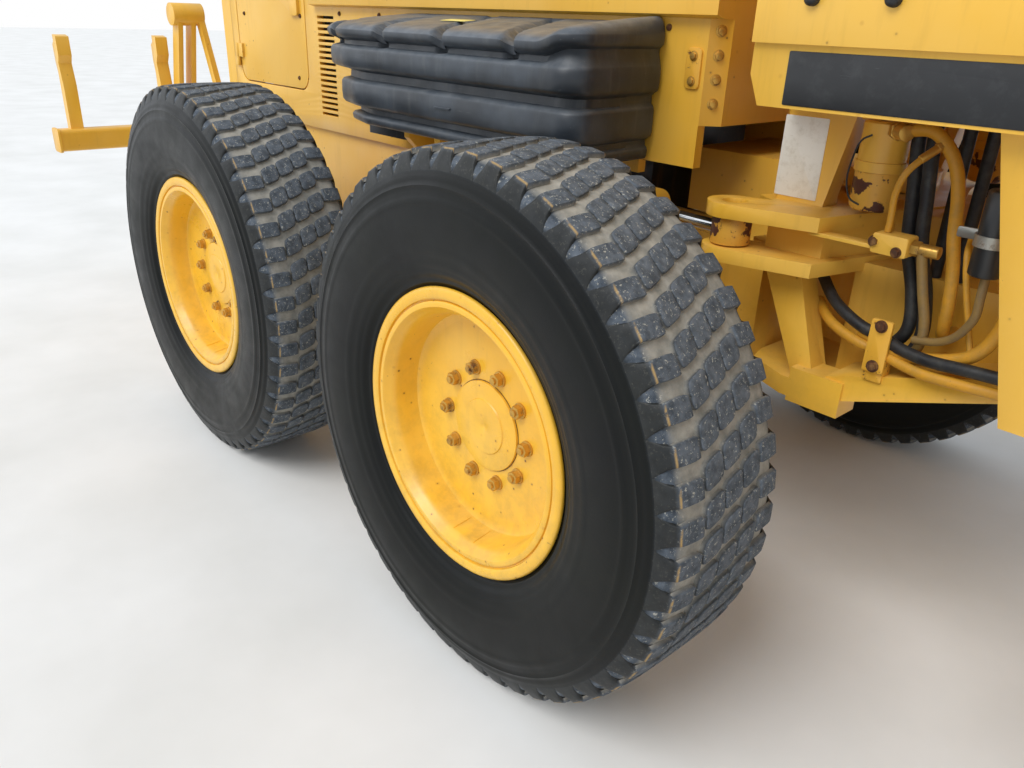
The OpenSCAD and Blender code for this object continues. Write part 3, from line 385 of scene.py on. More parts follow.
def softened(node: str, finish: "Finish", edge_finish: "Finish | None" = None,
             edge: float = 3.0, zones: Sequence[Zone] = ()) -> bpy.types.Object:
    """A copy of a CAD node with its doubles merged and its edges rounded, as sheared, cast
    and welded plate has; the rounded edges wear a finish of their own.

    Args:
        node: the CAD node that the copy takes the place of.
        finish: finish of its faces.
        edge_finish: finish of its rounded edges.
        edge: width of the rounding in millimetres.
        zones: boxes whose faces wear another finish.

    Returns:
        The new object.
    """
    source = frame["nodes"][node]
    mesh = source.data.copy()
    mesh.name = f"{node}_dressed"
    work = bmesh.new()
    work.from_mesh(mesh)
    bmesh.ops.remove_doubles(work, verts=work.verts, dist=MERGE_DISTANCE)
    bmesh.ops.dissolve_limit(work, angle_limit=FLAT_ANGLE, verts=work.verts, edges=work.edges)
    for face in work.faces:
        face.smooth = True
        centre = np.array(face.calc_center_median())
        inside = [2 + i for i, zone in enumerate(zones) if zone.holds(centre)]
        face.material_index = inside[0] if inside else 0
    mesh.materials.clear()
    for coat in (finish, edge_finish or finish, *(zone.finish for zone in zones)):
        mesh.materials.append(coat.material())
    work.to_mesh(mesh)
    work.free()
    thing = bpy.data.objects.new(f"{node}_dressed", mesh)
    bpy.context.scene.collection.objects.link(thing)
    bevel = thing.modifiers.new("rounding", "BEVEL")
    bevel.width = edge / MM
    bevel.segments = 2
    bevel.limit_method = "ANGLE"
    bevel.angle_limit = EDGE_ANGLE
    bevel.material = 1
    bevel.harden_normals = True
    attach(thing, source["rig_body"])
    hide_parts(node)
    return thing


# Finishes.


def linear(hex_code: str) -> tuple[float, float, float, float]:
    """Turns an sRGB hex colour into linear light.

    Args:
        hex_code: such as "D89C22".

    Returns:
        Red, green, blue and alpha.
    """
    srgb = np.array([int(hex_code[i:i + 2], 16) for i in (0, 2, 4)]) / 255.0
    light = np.where(srgb <= 0.04045, srgb / 12.92, ((srgb + 0.055) / 1.055) ** 2.4)
    return (float(light[0]), float(light[1]), float(light[2]), 1.0)


def add_node(tree: bpy.types.NodeTree, kind: str, inputs: dict | None = None,
             **settings: object) -> bpy.types.Node:
    """Adds a shader node with its settings, values and links.

    Args:
        tree: the material's tree.
        kind: the node's type name.
        inputs: socket name or number to a value or to the socket that feeds it.
        settings: attributes of the node.

    Returns:
        The node.
    """
    node = tree.nodes.new(kind)
    for name, value in settings.items():
        setattr(node, name, value)
    for key, value in (inputs or {}).items():
        if isinstance(value, bpy.types.NodeSocket):
            tree.links.new(value, node.inputs[key])
        else:
            node.inputs[key].default_value = value
    return node


class Shade:
    """A material's tree with short ways to write the patterns that the finishes share."""

    def __init__(self, name: str) -> None:
        """Makes an empty material with its shader.

        Args:
            name: the material's name.
        """
        self.material = bpy.data.materials.new(name)
        self.material.use_nodes = True
        self.tree = self.material.node_tree
        self.shader = self.tree.nodes["Principled BSDF"]
        self.place = add_node(self.tree, "ShaderNodeTexCoord").outputs["Object"]

    def noise(self, grain_mm: float, detail: float = 4.0, rough: float = 0.55,
              stretch: tuple[float, float, float] = (1, 1, 1)) -> bpy.types.NodeSocket:
        """Cloudy noise, 0 to 1.

        Args:
            grain_mm: size of a spot.
            detail: how many finer layers lie on it.
            rough: how strong the finer layers are.
            stretch: scale along each axis; below 1 draws the spots out.

        Returns:
            The noise.
        """
        place = self.place
        if stretch != (1, 1, 1):
            place = add_node(self.tree, "ShaderNodeMapping",
                             {"Vector": place, "Scale": stretch}).outputs[0]
        return add_node(self.tree, "ShaderNodeTexNoise", {
            "Vector": place, "Scale": MM / grain_mm, "Detail": detail,
            "Roughness": rough}).outputs["Fac"]

    def cells(self, size_mm: float) -> bpy.types.NodeSocket:
        """Distance to the nearest of scattered points, about size_mm apart."""
        return add_node(self.tree, "ShaderNodeTexVoronoi", {
            "Vector": self.place, "Scale": MM / size_mm}).outputs["Distance"]

    def waves(self, scale: float, along: str) -> bpy.types.NodeSocket:
        """Even waves, 0 to 1, one every 314 / scale millimetres along an axis."""
        return add_node(self.tree, "ShaderNodeTexWave", {
            "Vector": self.place, "Scale": scale}, bands_direction=along).outputs["Fac"]

    def ramp(self, value: bpy.types.NodeSocket, low: float, high: float,
             to_low: float = 0.0, to_high: float = 1.0) -> bpy.types.NodeSocket:
        """Maps low..high of a value to to_low..to_high, and holds it outside."""
        return add_node(self.tree, "ShaderNodeMapRange", {
            "Value": value, "From Min": low, "From Max": high, "To Min": to_low,
            "To Max": to_high}).outputs[0]

    def times(self, a: bpy.types.NodeSocket,
              b: bpy.types.NodeSocket | float) -> bpy.types.NodeSocket:
        """The product of two values."""
        return add_node(self.tree, "ShaderNodeMath", {0: a, 1: b},
                        operation="MULTIPLY").outputs[0]

    def plus(self, a: bpy.types.NodeSocket,
             b: bpy.types.NodeSocket | float) -> bpy.types.NodeSocket:
        """The sum of two values, held to 0..1."""
        return add_node(self.tree, "ShaderNodeMath", {0: a, 1: b}, operation="ADD",
                        use_clamp=True).outputs[0]

    def mark(self, name: str) -> bpy.types.NodeSocket:
        """A per-point value that the mesh carries."""
        return add_node(self.tree, "ShaderNodeAttribute", attribute_name=name).outputs["Fac"]

    def height(self) -> bpy.types.NodeSocket:
        """Metres above the ground."""
        return add_node(self.tree, "ShaderNodeSeparateXYZ", {0: self.place}).outputs["Z"]

    def facing_up(self) -> bpy.types.NodeSocket:
        """How far the surface faces the sky.

        Returns:
            1 on a level top, 0 on a wall.
        """
        normal = add_node(self.tree, "ShaderNodeNewGeometry").outputs["Normal"]
        z = add_node(self.tree, "ShaderNodeSeparateXYZ", {0: normal}).outputs["Z"]
        return self.ramp(z, 0.25, 0.95)

    def blend(self, under: bpy.types.NodeSocket | str, over: bpy.types.NodeSocket | str,
              amount: bpy.types.NodeSocket | float) -> bpy.types.NodeSocket:
        """Lays one colour over another.

        Args:
            under: the lower colour, as a hex code or a socket.
            over: the upper colour.
            amount: how much of the upper one shows, 0 to 1.

        Returns:
            The mixed colour.
        """
        first = linear(under) if isinstance(under, str) else under
        second = linear(over) if isinstance(over, str) else over
        return add_node(self.tree, "ShaderNodeMix", {0: amount, 6: first, 7: second},
                        data_type="RGBA").outputs[2]

    def bump(self, height: bpy.types.NodeSocket, depth_mm: float,
             under: bpy.types.NodeSocket | None = None) -> bpy.types.NodeSocket:
        """Tilts the surface by a height pattern.

        Args:
            height: the pattern.
            depth_mm: how deep it is from 0 to 1; negative sinks it.
            under: a normal that it lies on.

        Returns:
            The tilted normal.
        """
        inputs: dict = {"Height": height, "Strength": 1.0, "Distance": depth_mm / MM}
        if under is not None:
            inputs["Normal"] = under
        return add_node(self.tree, "ShaderNodeBump", inputs).outputs[0]

    def finish(self, **sockets: object) -> bpy.types.Material:
        """Feeds the shader's sockets.

        Args:
            sockets: socket names, with underscores for spaces, and their values.

        Returns:
            The finished material.
        """
        for name, value in sockets.items():
            socket = self.shader.inputs[name.replace("_", " ")]
            if isinstance(value, bpy.types.NodeSocket):
                self.tree.links.new(value, socket)
            else:
                socket.default_value = value
        return self.material


@dataclass(frozen=True)
class Finish:
    """A named finish; each kind below says how its material is built."""

    name: str
    slot: str

    def material(self) -> bpy.types.Material:
        """The finish's material, built once."""
        made = bpy.data.materials.get(self.name)
        return made if made is not None else self.build()

    def build(self) -> bpy.types.Material:
        """Builds the material."""
        raise NotImplementedError


@dataclass(frozen=True)
class SprayedEnamel(Finish):
    """Alkyd machine enamel, sprayed and weathered: an orange-peel skin that has faded in
    clouds, with dust on what faces up, grime low down, rust specks and chips. The field
    chips says how chipped it is, and flaked how much of it has come off in sheets."""

    colour: str = "E8B238"
    faded: str = "EEC05E"
    deep: str = "D39724"
    chips: float = 0.5
    gloss: float = 0.38
    flaked: float = 0.0

    def build(self) -> bpy.types.Material:
        """Enamel over primer over rust.

        Returns:
            The material.
        """
        s = Shade(self.name)
        # Faded clouds, deeper clouds, and streaks that rain has drawn down.
        clouds = s.ramp(s.noise(420, 5), 0.38, 0.66)
        coat = s.blend(self.colour, self.faded, s.times(clouds, 0.55))
        coat = s.blend(coat, self.deep, s.times(s.ramp(s.noise(1100, 3), 0.5, 0.75), 0.5))
        streak = s.ramp(s.noise(26, 5, 0.6, (1, 1, 0.12)), 0.55, 0.8)
        coat = s.blend(coat, "B0822E", s.times(streak, 0.22))
        # Dust on what faces up, and grime below a metre.
        dust = s.times(s.facing_up(), s.ramp(s.noise(90, 6), 0.35, 0.75))
        coat = s.blend(coat, "C2A46A", s.times(dust, 0.35))
        low = s.times(s.ramp(s.height(), 1.0, 0.35), s.ramp(s.noise(60, 6, 0.7), 0.42, 0.7))
        coat = s.blend(coat, "8C6F3C", s.times(low, 0.4))
        # Rust specks, each with a brown halo, in loose groups. Real ones are 1 to 2 mm
        # across; they are drawn up to 5 mm so that they show.
        spots = s.cells(38)
        halo = s.ramp(spots, 0.17, 0.05)
        speck = s.ramp(spots, 0.075, 0.05)
        spread = s.ramp(s.noise(260, 4), 0.56 - 0.2 * self.chips, 0.66)
        coat = s.blend(coat, "A8641C", s.times(s.times(halo, spread), 0.45))
        coat = s.blend(coat, "4A2A16", s.times(speck, spread))
        # Chips down to the primer, and rusty patches where the coat has come off.
        edge = 0.735 - 0.09 * self.chips
        area = s.ramp(s.noise(170, 2), 0.5, 0.6)
        chip = s.times(s.ramp(s.noise(14, 6, 0.75), edge, edge + 0.025), area)
        coat = s.blend(coat, "5C3A22", chip)
        if self.flaked:
            edge = 0.66 - 0.14 * self.flaked
            bare = s.ramp(s.noise(75, 6, 0.6), edge, edge + 0.015)
            coat = s.blend(coat, s.blend("5E2F22", "3E241B", s.noise(9, 4)), bare)
            chip = s.plus(chip, bare)
        rough = s.plus(s.ramp(s.noise(130, 5), 0.3, 0.8, self.gloss - 0.06, self.gloss + 0.14),
                       s.times(dust, 0.2))
        # Orange peel, drawn 3 mm across where the real one is about 1.5 mm, and the chips.
        normal = s.bump(s.noise(3.2, 2), 0.05)
        normal = s.bump(chip, -0.35, normal)
        return s.finish(Base_Color=coat, Roughness=rough, Normal=normal, IOR=1.5,
                        Coat_Weight=0.15, Coat_Roughness=0.25)


@dataclass(frozen=True)
class TyreRubber(Finish):
    """Carbon-black truck tyre rubber, moulded: satin sidewalls with an olive cast, scuffed grey
    blocks, a painted sky sheen that lightens the shoulder's up-facing floor to bluish grey, and
    pale road dust packed in the grooves; the marks dust, scuff and wear say where."""

    def build(self) -> bpy.types.Material:
        """Rubber with dust by the marks.

        Returns:
            The material.
        """
        s = Shade(self.name)
        dust, scuff, wear = s.mark("dust"), s.mark("scuff"), s.mark("wear")
        # The dark wall, then the grey scuffed rubber with pale grit pressed into it; on the
        # shoulder's floor the same grey is painted sky sheen. Real grit is 1 to 3 mm across; it is
        # drawn about 7 mm so that it shows.
        wall = s.blend("07090A", "0B0E0A", s.ramp(s.noise(240, 4), 0.35, 0.7))
        wall = s.blend(wall, "1D1E19", s.times(s.ramp(s.noise(36, 6, 0.7), 0.55, 0.85), 0.35))
        grey = s.blend("3C444D", "68707A", s.ramp(s.noise(24, 5, 0.65), 0.35, 0.7))
        pits = s.ramp(s.noise(7.5, 4, 0.8), 0.59, 0.63)
        grey = s.blend(grey, "B9B7AC", s.times(pits, 0.85))
        coat = s.blend(wall, grey, scuff)
        # Dry earth on the lugs' worn ends and pale dust in the grooves.
        coat = s.blend(coat, "A98A55", s.times(wear, s.ramp(s.noise(16, 5, 0.7), 0.34, 0.5)))
        earth = s.blend("87857D", "B0ABA0", s.ramp(s.noise(30, 5), 0.3, 0.7))
        amount = s.times(dust, s.ramp(s.noise(20, 5, 0.7), 0.15, 0.5, 0.65, 1.0))
        coat = s.blend(coat, earth, amount)
        rough = s.plus(s.ramp(s.noise(60, 4), 0.3, 0.7, 0.33, 0.46),
                       s.times(s.plus(scuff, dust), 0.34))
        normal = s.bump(s.noise(5, 5, 0.7), 0.25)
        return s.finish(Base_Color=coat, Roughness=rough, Normal=normal, IOR=1.52,
                        Specular_IOR_Level=0.2)


@dataclass(frozen=True)
class MouldedPlastic(Finish):
    """Polyethylene, rotation-moulded: a soft satin skin with fine grain, scuffed paler along its
    ribs and streaked by rain; what faces up is painted lighter and bluish as a sky reflection."""

    colour: str = "262B31"
    worn: str = "535C66"

    def build(self) -> bpy.types.Material:
        """Plastic with a fine grain.

        Returns:
            The material.
        """
        s = Shade(self.name)
        # Scuffed paler in clouds, with a painted sky reflection, lighter and bluish, on what
        # faces up, and dust on it.
        coat = s.blend(self.colour, self.worn, s.times(s.ramp(s.noise(150, 5), 0.42, 0.75), 0.45))
        dust = s.times(s.facing_up(), s.ramp(s.noise(45, 6, 0.65), 0.38, 0.8))
        # Painted sky reflection: each face that looks up is lightened towards bluish grey 6A737D.
        coat = s.blend(coat, "6A737D", s.times(s.facing_up(), 0.45))
        coat = s.blend(coat, "8D8F90", s.times(dust, 0.55))
        # Rain streaks down the walls and long scratches along the machine.
        streak = s.ramp(s.noise(30, 4, 0.6, (1, 1, 0.08)), 0.56, 0.8)
        coat = s.blend(coat, "63645F", s.times(streak, 0.3))
        scratch = s.ramp(s.noise(9, 3, 0.7, (0.06, 1, 1)), 0.66, 0.72)
        coat = s.blend(coat, "777974", s.times(scratch, 0.25))
        rough = s.ramp(s.noise(70, 5), 0.3, 0.8, 0.34, 0.55)
        normal = s.bump(s.noise(2.6, 3), 0.12)
        return s.finish(Base_Color=coat, Roughness=rough, Normal=normal, IOR=1.5)


@dataclass(frozen=True)
class HoseRubber(Finish):
    """Braided hydraulic hose with a smooth nitrile cover: dull black, or over-sprayed
    yellow with cracks in the paint."""

    colour: str = "1F2022"
    dusty: str = "4B4A44"

    def build(self) -> bpy.types.Material:
        """Hose cover with road dust.

        Returns:
            The material.
        """
        s = Shade(self.name)
        dirt = s.ramp(s.noise(40, 5, 0.7), 0.45, 0.75)
        coat = s.blend(self.colour, self.dusty, s.times(dirt, 0.6))
        crack = s.ramp(s.noise(9, 5, 0.8), 0.6, 0.68)
        coat = s.blend(coat, "55482E", s.times(crack, 0.35))
        normal = s.bump(s.noise(2.2, 2), 0.1)
        return s.finish(Base_Color=coat, Roughness=s.ramp(s.noise(25, 3), 0.3, 0.7, 0.45, 0.65),
                        Normal=normal)


@dataclass(frozen=True)
class BareSteel(Finish):
    """Steel without paint: ground, rolled or rusted, told apart by its colours, how metallic
    it is and how rough."""

    colour: str = "8B8D8F"
    rust: str = "6A4427"
    rusted: float = 0.3
    metal: float = 1.0
    rough: float = 0.35

    def build(self) -> bpy.types.Material:
        """Steel with rust in patches; rust is no metal.

        Returns:
            The material.
        """
        s = Shade(self.name)
        edge = 0.62 - 0.3 * self.rusted
        patch = s.ramp(s.noise(48, 7, 0.7), edge, edge + 0.14)
        brown = s.blend(self.rust, "3D2817", s.ramp(s.noise(12, 5, 0.7), 0.4, 0.7))
        coat = s.blend(self.colour, brown, patch)
        metallic = s.ramp(patch, 0.0, 1.0, self.metal, 0.0)
        rough = s.ramp(patch, 0.0, 1.0, self.rough, 0.85)
        normal = s.bump(s.noise(6, 5, 0.7), 0.15)
        return s.finish(Base_Color=coat, Metallic=metallic, Roughness=rough, Normal=normal)


@dataclass(frozen=True)
class HardChrome(Finish):
    """Ground and chromed piston rod: mirror-like with a film of oil and dust."""

    def build(self) -> bpy.types.Material:
        """Chrome with an oily film.

        Returns:
            The material.
        """
        s = Shade(self.name)
        film = s.ramp(s.noise(60, 6, 0.6), 0.45, 0.75)
        coat = s.blend("C9CBCC", "8E8878", s.times(film, 0.5))
        rough = s.ramp(film, 0.0, 1.0, 0.1, 0.35)
        return s.finish(Base_Color=coat, Metallic=1.0, Roughness=rough)


@dataclass(frozen=True)
class SafetyGlass(Finish):
    """Tempered window glass with a slight green-grey tint and a haze of dust."""

    def build(self) -> bpy.types.Material:
        """Glass that lets the inside show.

        Returns:
            The material.
        """
        s = Shade(self.name)
        haze = s.ramp(s.noise(200, 5), 0.4, 0.8, 0.02, 0.12)
        return s.finish(Base_Color=linear("C6D4D0"), Roughness=haze, IOR=1.45,
                        Transmission_Weight=1.0)


@dataclass(frozen=True)
class SeatCloth(Finish):
    """Woven polyester seat cloth, matt with a soft sheen. A real thread is about 0.5 mm
    wide; it is drawn 3 mm wide so that the weave shows."""

    colour: str = "33363B"

    def build(self) -> bpy.types.Material:
        """Cloth with a crossing weave.

        Returns:
            The material.
        """
        s = Shade(self.name)
        weave = s.times(s.waves(55.0, "X"), s.waves(55.0, "Y"))
        coat = s.blend(self.colour, "50545A", s.times(weave, 0.6))
        return s.finish(Base_Color=coat, Roughness=0.9, Normal=s.bump(weave, 0.5),
                        Sheen_Weight=0.3)


@dataclass(frozen=True)
class PrintedPlate(Finish):
    """A thin blank plate or sticker: screen-printed vinyl, slightly yellowed and scratched."""

    colour: str = "E9E6DB"
    dirt: str = "A89A78"
    rough: float = 0.35

    def build(self) -> bpy.types.Material:
        """Vinyl with soiled patches.

        Returns:
            The material.
        """
        s = Shade(self.name)
        coat = s.blend(self.colour, self.dirt, s.times(s.ramp(s.noise(35, 6, 0.7), 0.5, 0.8), 0.5))
        scratch = s.ramp(s.noise(6, 3, 0.7, (0.1, 1, 1)), 0.68, 0.72)
        coat = s.blend(coat, self.dirt, s.times(scratch, 0.5))
        return s.finish(Base_Color=coat, Roughness=s.ramp(s.noise(50, 4), 0.3, 0.8, self.rough,
                                                          self.rough + 0.2))


@dataclass(frozen=True)
class LampLens(Finish):
    """Pressed lamp glass: clear and glossy, with upright ribs that break up what lies
    behind it. Real ribs are about 5 mm apart; they are drawn 16 mm apart to show."""

    colour: str = "E8ECEC"

    def build(self) -> bpy.types.Material:
        """Lens with upright ribs.

        Returns:
            The material.
        """
        s = Shade(self.name)
        ribs = s.waves(20.0, "Y")
        coat = s.blend(self.colour, "B9BEBE", s.times(s.noise(40, 3), 0.3))
        return s.finish(Base_Color=coat, Roughness=0.12, Normal=s.bump(ribs, 0.8),
                        Transmission_Weight=0.35)


@dataclass(frozen=True)
class StudioGround(Finish):
    """Pale matt floor and backdrop: white to the eye, while it still takes the shadow."""

    def build(self) -> bpy.types.Material:
        """Painted floor.

        Returns:
            The material.
        """
        s = Shade(self.name)
        coat = s.blend("E4E3E0", "DAD9D5", s.ramp(s.noise(600, 4), 0.35, 0.7))
        return s.finish(Base_Color=coat, Roughness=0.8)


YELLOW = SprayedEnamel("Sprayed_yellow_enamel", "machine_yellow")
YELLOW_EDGE = SprayedEnamel("Sprayed_yellow_enamel_worn_edges", "machine_yellow",
                            colour="E3A831", chips=1.6, gloss=0.45)
RUSTY_YELLOW = SprayedEnamel("Sprayed_yellow_enamel_flaking", "machine_yellow",
                             colour="DDA230", deep="B47C22", chips=1.6, gloss=0.5, flaked=1.0)
RIM_YELLOW = SprayedEnamel("Sprayed_yellow_wheel_enamel", "machine_yellow", colour="EDB52C",
                           faded="F1C454", deep="DF9F1B", chips=0.7, gloss=0.3)
BLACK = SprayedEnamel("Sprayed_black_enamel", "black_paint", colour="1E1F20", faded="2D2E2F",
                      deep="141516", chips=0.4, gloss=0.42)
RUBBER = TyreRubber("Moulded_tyre_rubber", "tyre_rubber")
TANK = MouldedPlastic("Rotomoulded_black_polyethylene", "tank_plastic")
TRIM = MouldedPlastic("Injection_moulded_black_trim", "interior_trim", colour="2A2B2D",
                      worn="414345")
HOSE = HoseRubber("Nitrile_hose_cover", "hose_rubber")
HOSE_YELLOW = HoseRubber("Oversprayed_hose_cover", "hose_rubber", colour="CE9427",
                         dusty="9A7A3A")
HOSE_WORN = HoseRubber("Worn_oversprayed_hose_cover", "hose_rubber", colour="8A6E3C",
                       dusty="5A5247")
WIRE_PALE = MouldedPlastic("Pale_wire_insulation", "hose_rubber", colour="BDBBA8", worn="CFCDBD")
WIRE_GREEN = MouldedPlastic("Green_wire_insulation", "hose_rubber", colour="5E7A6A",
                            worn="7C9184")
NUT = BareSteel("Dirty_zinc_plated_nuts", "ram_chrome", colour="C99D4A", rust="7A5226",
                rusted=0.3, metal=0.7, rough=0.34)
STEEL = BareSteel("Dull_zinc_plated_strap", "ram_chrome", colour="A9A79E", rust="7A5A38",
                  rusted=0.2, metal=0.85, rough=0.42)
RUSTY = BareSteel("Rusted_steel_boss", "ram_chrome", colour="8F6A3C", rust="5B3218",
                  rusted=0.85, metal=0.4, rough=0.7)
EDGE_STEEL = BareSteel("Worn_rolled_cutting_edge", "ram_chrome", colour="77787A",
                       rust="6B4527", rusted=0.6, metal=0.9, rough=0.4)
CHROME = HardChrome("Hard_chromed_rod", "ram_chrome")
GLASS = SafetyGlass("Tempered_window_glass", "window_glass")
CLOTH = SeatCloth("Woven_seat_cloth", "interior_trim")
PALE_PLATE = PrintedPlate("Blank_white_vinyl_plate", "tank_plastic")
CREAM_PLATE = PrintedPlate("Blank_cream_vinyl_label", "tank_plastic", colour="E6D77C",
                           dirt="A8955A")
BLACK_PLATE = PrintedPlate("Blank_black_vinyl_panel", "tank_plastic", colour="17181A",
                           dirt="3A3B3C", rough=0.3)
LENS = LampLens("Pressed_lamp_lens", "window_glass")
GROUND = StudioGround("Pale_studio_floor", "tank_plastic")


# Wheels.


@dataclass
class Tyre:
    """A block-tread tyre: carcass of revolution with moulded rings, wide shoulder lugs with
    scooped notches between them, and three rows of blocks that stand in slanting bands with
    dusty grooves between the bands."""

    name: str
    body: str
    centre_x: float
    side: Side
    radius: float = WHEEL_Z
    shoulder: float = 168.0
    shoulder_drop: float = 9.0
    pitches: int = 54
    rows: tuple[float, ...] = (-57.5, 0.0, 57.5)
    row_shift: float = 0.28
    lean: float = -0.33
    outline_points: int = 84
    segments: int = 120

    def crown(self, across: np.ndarray) -> np.ndarray:
        """Radius of the tread's outer face: it falls by the fourth power of the distance
        from the middle, 9 mm at the shoulder."""
        return self.radius - self.shoulder_drop * (np.abs(across) / self.shoulder) ** 4

    def carcass(self) -> Patch:
        """The sidewalls and groove floor, with fine rings pressed into the sidewall as
        small bell-shaped rises along its outline.

        Returns:
            The closed ring, around the tyre's own middle.
        """
        # Radius and distance from the middle plane, from the bead to the groove floor.
        half = np.array([
            [312.3, 130], [330, 140], [352, 143], [366, 147], [380, 156], [400, 167.5],
            [430, 177], [470, 184], [510, 187.2], [545, 187], [575, 183.5], [600, 178.5],
            [622, 171.5], [636, 165], [646, 156], [653, 145], [656.5, 132], [659.5, 100],
            [661.4, 60], [662, 20]])
        side = smooth_path(half, self.outline_points)
        r, y = side[:, 0], side[:, 1]
        # Each ring by its radius, its height and its half-width; a dip follows the first.
        rings = [(372, 3.0, 3.2), (394, 1.8, 3.0), (412, 1.6, 3.0), (448, 2.0, 4.0),
                 (556, 2.4, 4.5), (588, 3.2, 3.2), (607, 1.6, 4.0)]
        rise = sum(h * np.exp(-((r - at) / w) ** 2) for at, h, w in rings)
        dip = 1.2 * np.exp(-((r - 382) / 3.0) ** 2)
        y = y + np.where(r < 620, rise - dip, 0)
        profile = np.concatenate([np.stack([r, y], -1), np.stack([r, -y], -1)[::-1]])
        dust = np.clip((profile[:, 0] - 650) / 7, 0, 1)
        # From the shoulder out the rubber turns grey: scuffing, and also a painted sky sheen that
        # lights the up-facing groove floor beside the lugs.
        scuff = np.clip((profile[:, 0] - 618) / 22, 0, 0.85)
        return turned(profile, (0, 0, 0), self.segments, dust=dust, scuff=scuff,
                      wear=np.zeros(len(profile)))

    def wrapped(self, along: np.ndarray, across: np.ndarray, depth: np.ndarray,
                pitch: np.ndarray) -> np.ndarray:
        """Carries block points round the tyre: the angle is the pitch's angle plus the way
        along divided by the radius.

        Args:
            along: millimetres round the tread.
            across: millimetres from the middle plane.
            depth: millimetres under the crown.
            pitch: pitch numbers, broadcast against the rest.

        Returns:
            Array (..., 3).
        """
        radius = self.crown(across) - depth
        angle = pitch * 2 * math.pi / self.pitches + along / self.radius
        return np.stack([radius * np.sin(angle), across + 0 * angle, radius * np.cos(angle)], -1)

    def lugs(self, sign: int) -> Patch:
        """The shoulder lugs of one side: each a small height field whose border drops to
        the groove floor and whose outer end leans down the shoulder.

        Args:
            sign: +1 or -1, the side of the middle plane.

        Returns:
            All lugs of that shoulder.
        """
        # Across the columns, t goes from one end of a lug's length to the other. Down the
        # rows, w is the distance from the middle plane, drop the depth under the crown and
        # reach half the lug's length. The border drops by wall, less where fade is small.
        t = np.array([-1.0, -0.93, -0.87, -0.3, 0.1, 0.5, 0.87, 0.93, 1.0])
        w = np.array([89, 90.5, 92.5, 98, 112, 136, 149, 152, 154.5, 158, 163, 168, 172, 174.5])
        drop = np.array([11, 2, 0, 0, 0, 0, 0.3, 1.4, 4, 9, 17, 27, 40, 56])
        reach = np.array([18, 20, 21.5, 23.2, 24, 23.4, 22.4, 22.3, 22.6, 23.5, 26, 31.5, 38.6,
                          38.8])
        wall = np.where(np.abs(t) > 0.99, 12.0, np.where(np.abs(t) > 0.9, 1.8, 0.0))
        fade = np.array([1, 1, 1, 1, 1, 1, 1, 1, 0.9, 0.65, 0.4, 0.2, 0, 0])
        depth = drop[:, None] + wall[None, :] * fade[:, None] * (1 - drop[:, None] / 60)
        along = t[None, :] * reach[:, None]
        sunk = wall[None, :] * np.array([0] * 8 + [0.2, 0.5, 0.6, 0.4, 0, 0])[:, None]
        across = sign * (w[:, None] - sunk)
        worn = np.zeros_like(depth)
        worn[7, 3:8] = 1.0
        scuff = np.where(depth < 4, 0.9, 0.35) * np.where(w > 156, 0.25, 1.0)[:, None]
        dust = np.where((depth > 9) & (w[:, None] < 150), 0.8, 0.04)
        pitch = np.arange(self.pitches)[:, None, None] - sign * 2 * self.row_shift
        points = self.wrapped(along[None], across[None], depth[None], pitch)
        parts = grid_patch(points[0], dust=dust, scuff=scuff, wear=worn)
        faces = parts.faces[0] if sign < 0 else parts.faces[0][:, ::-1]
        shift = (np.arange(self.pitches) * depth.size)[:, None, None]
        marks = {n: np.tile(m, self.pitches) for n, m in parts.marks.items()}
        return Patch(points.reshape(-1, 3), [(faces[None] + shift).reshape(-1, 4)], marks)

    def blocks(self) -> Patch:
        """The inner rows: a rounded outline with a nick in each long edge is carried up
        from the groove floor, drawn in for the rounded edge, and closed by a low top.

        Returns:
            All inner blocks.
        """
        outline = np.array([[-27, -19], [-23, -25], [-14, -27.5], [-3, -27.5], [0, -25.5],
                            [3, -27.5], [15, -27.5], [23, -25], [27, -19], [28, -4], [28, 10],
                            [27, 19], [23, 25], [14, 27.5], [3, 27.5], [0, 25.5], [-3, 27.5],
                            [-15, 27.5], [-23, 25], [-27, 19], [-28, 5], [-28, -9]])
        # Depth under the crown and size of the outline, from the foot to the top's middle.
        levels = [(11.0, 1.04), (2.6, 1.0), (0.6, 0.965), (0.0, 0.91), (0.0, 0.5), (0.5, 0.04)]
        count = len(outline)
        depth = np.array([d for d, _ in levels])[:, None] + np.zeros(count)[None]
        scale = np.array([k for _, k in levels])[:, None, None]
        ring = outline[None] * scale
        scuff = np.where(depth < 2, 0.9, 0.4)
        dust = np.where(depth > 8, 0.9, 0.06)
        rows = np.array(self.rows)
        number = np.arange(self.pitches * len(rows))
        row = number // self.pitches
        pitch = (number % self.pitches - self.row_shift * (row - 1))[:, None, None]
        middle = rows[row][:, None, None]
        along = ring[:, :, 0] + self.lean * ring[:, :, 1]
        points = self.wrapped(along[None], ring[None, :, :, 1] + middle, depth[None], pitch)
        one = grid_patch(points[0], wrap_v=True, dust=dust, scuff=scuff, wear=0 * depth)
        shift = (number * depth.size)[:, None, None]
        marks = {n: np.tile(m, len(number)) for n, m in one.marks.items()}
        faces = (one.faces[0][None, :, ::-1] + shift).reshape(-1, 4)
        lid = (np.arange(count) + (len(levels) - 1) * count)[None, None, ::-1] + shift
        return Patch(points.reshape(-1, 3), [faces, lid.reshape(-1, count)], marks)

    def build(self) -> bpy.types.Object:
        """Joins the carcass and the tread, puts them at the wheel and dresses them.

        Returns:
            The tyre's object.
        """
        tread = joined([self.carcass(), self.lugs(1), self.lugs(-1), self.blocks()])
        patch = tread.moved(self.centre_x, self.side.value * TRACK_HALF, WHEEL_Z)
        return put(f"tread_{self.name}", patch, RUBBER, self.body, f"tyre_{self.name}",
                   smooth_under=50)


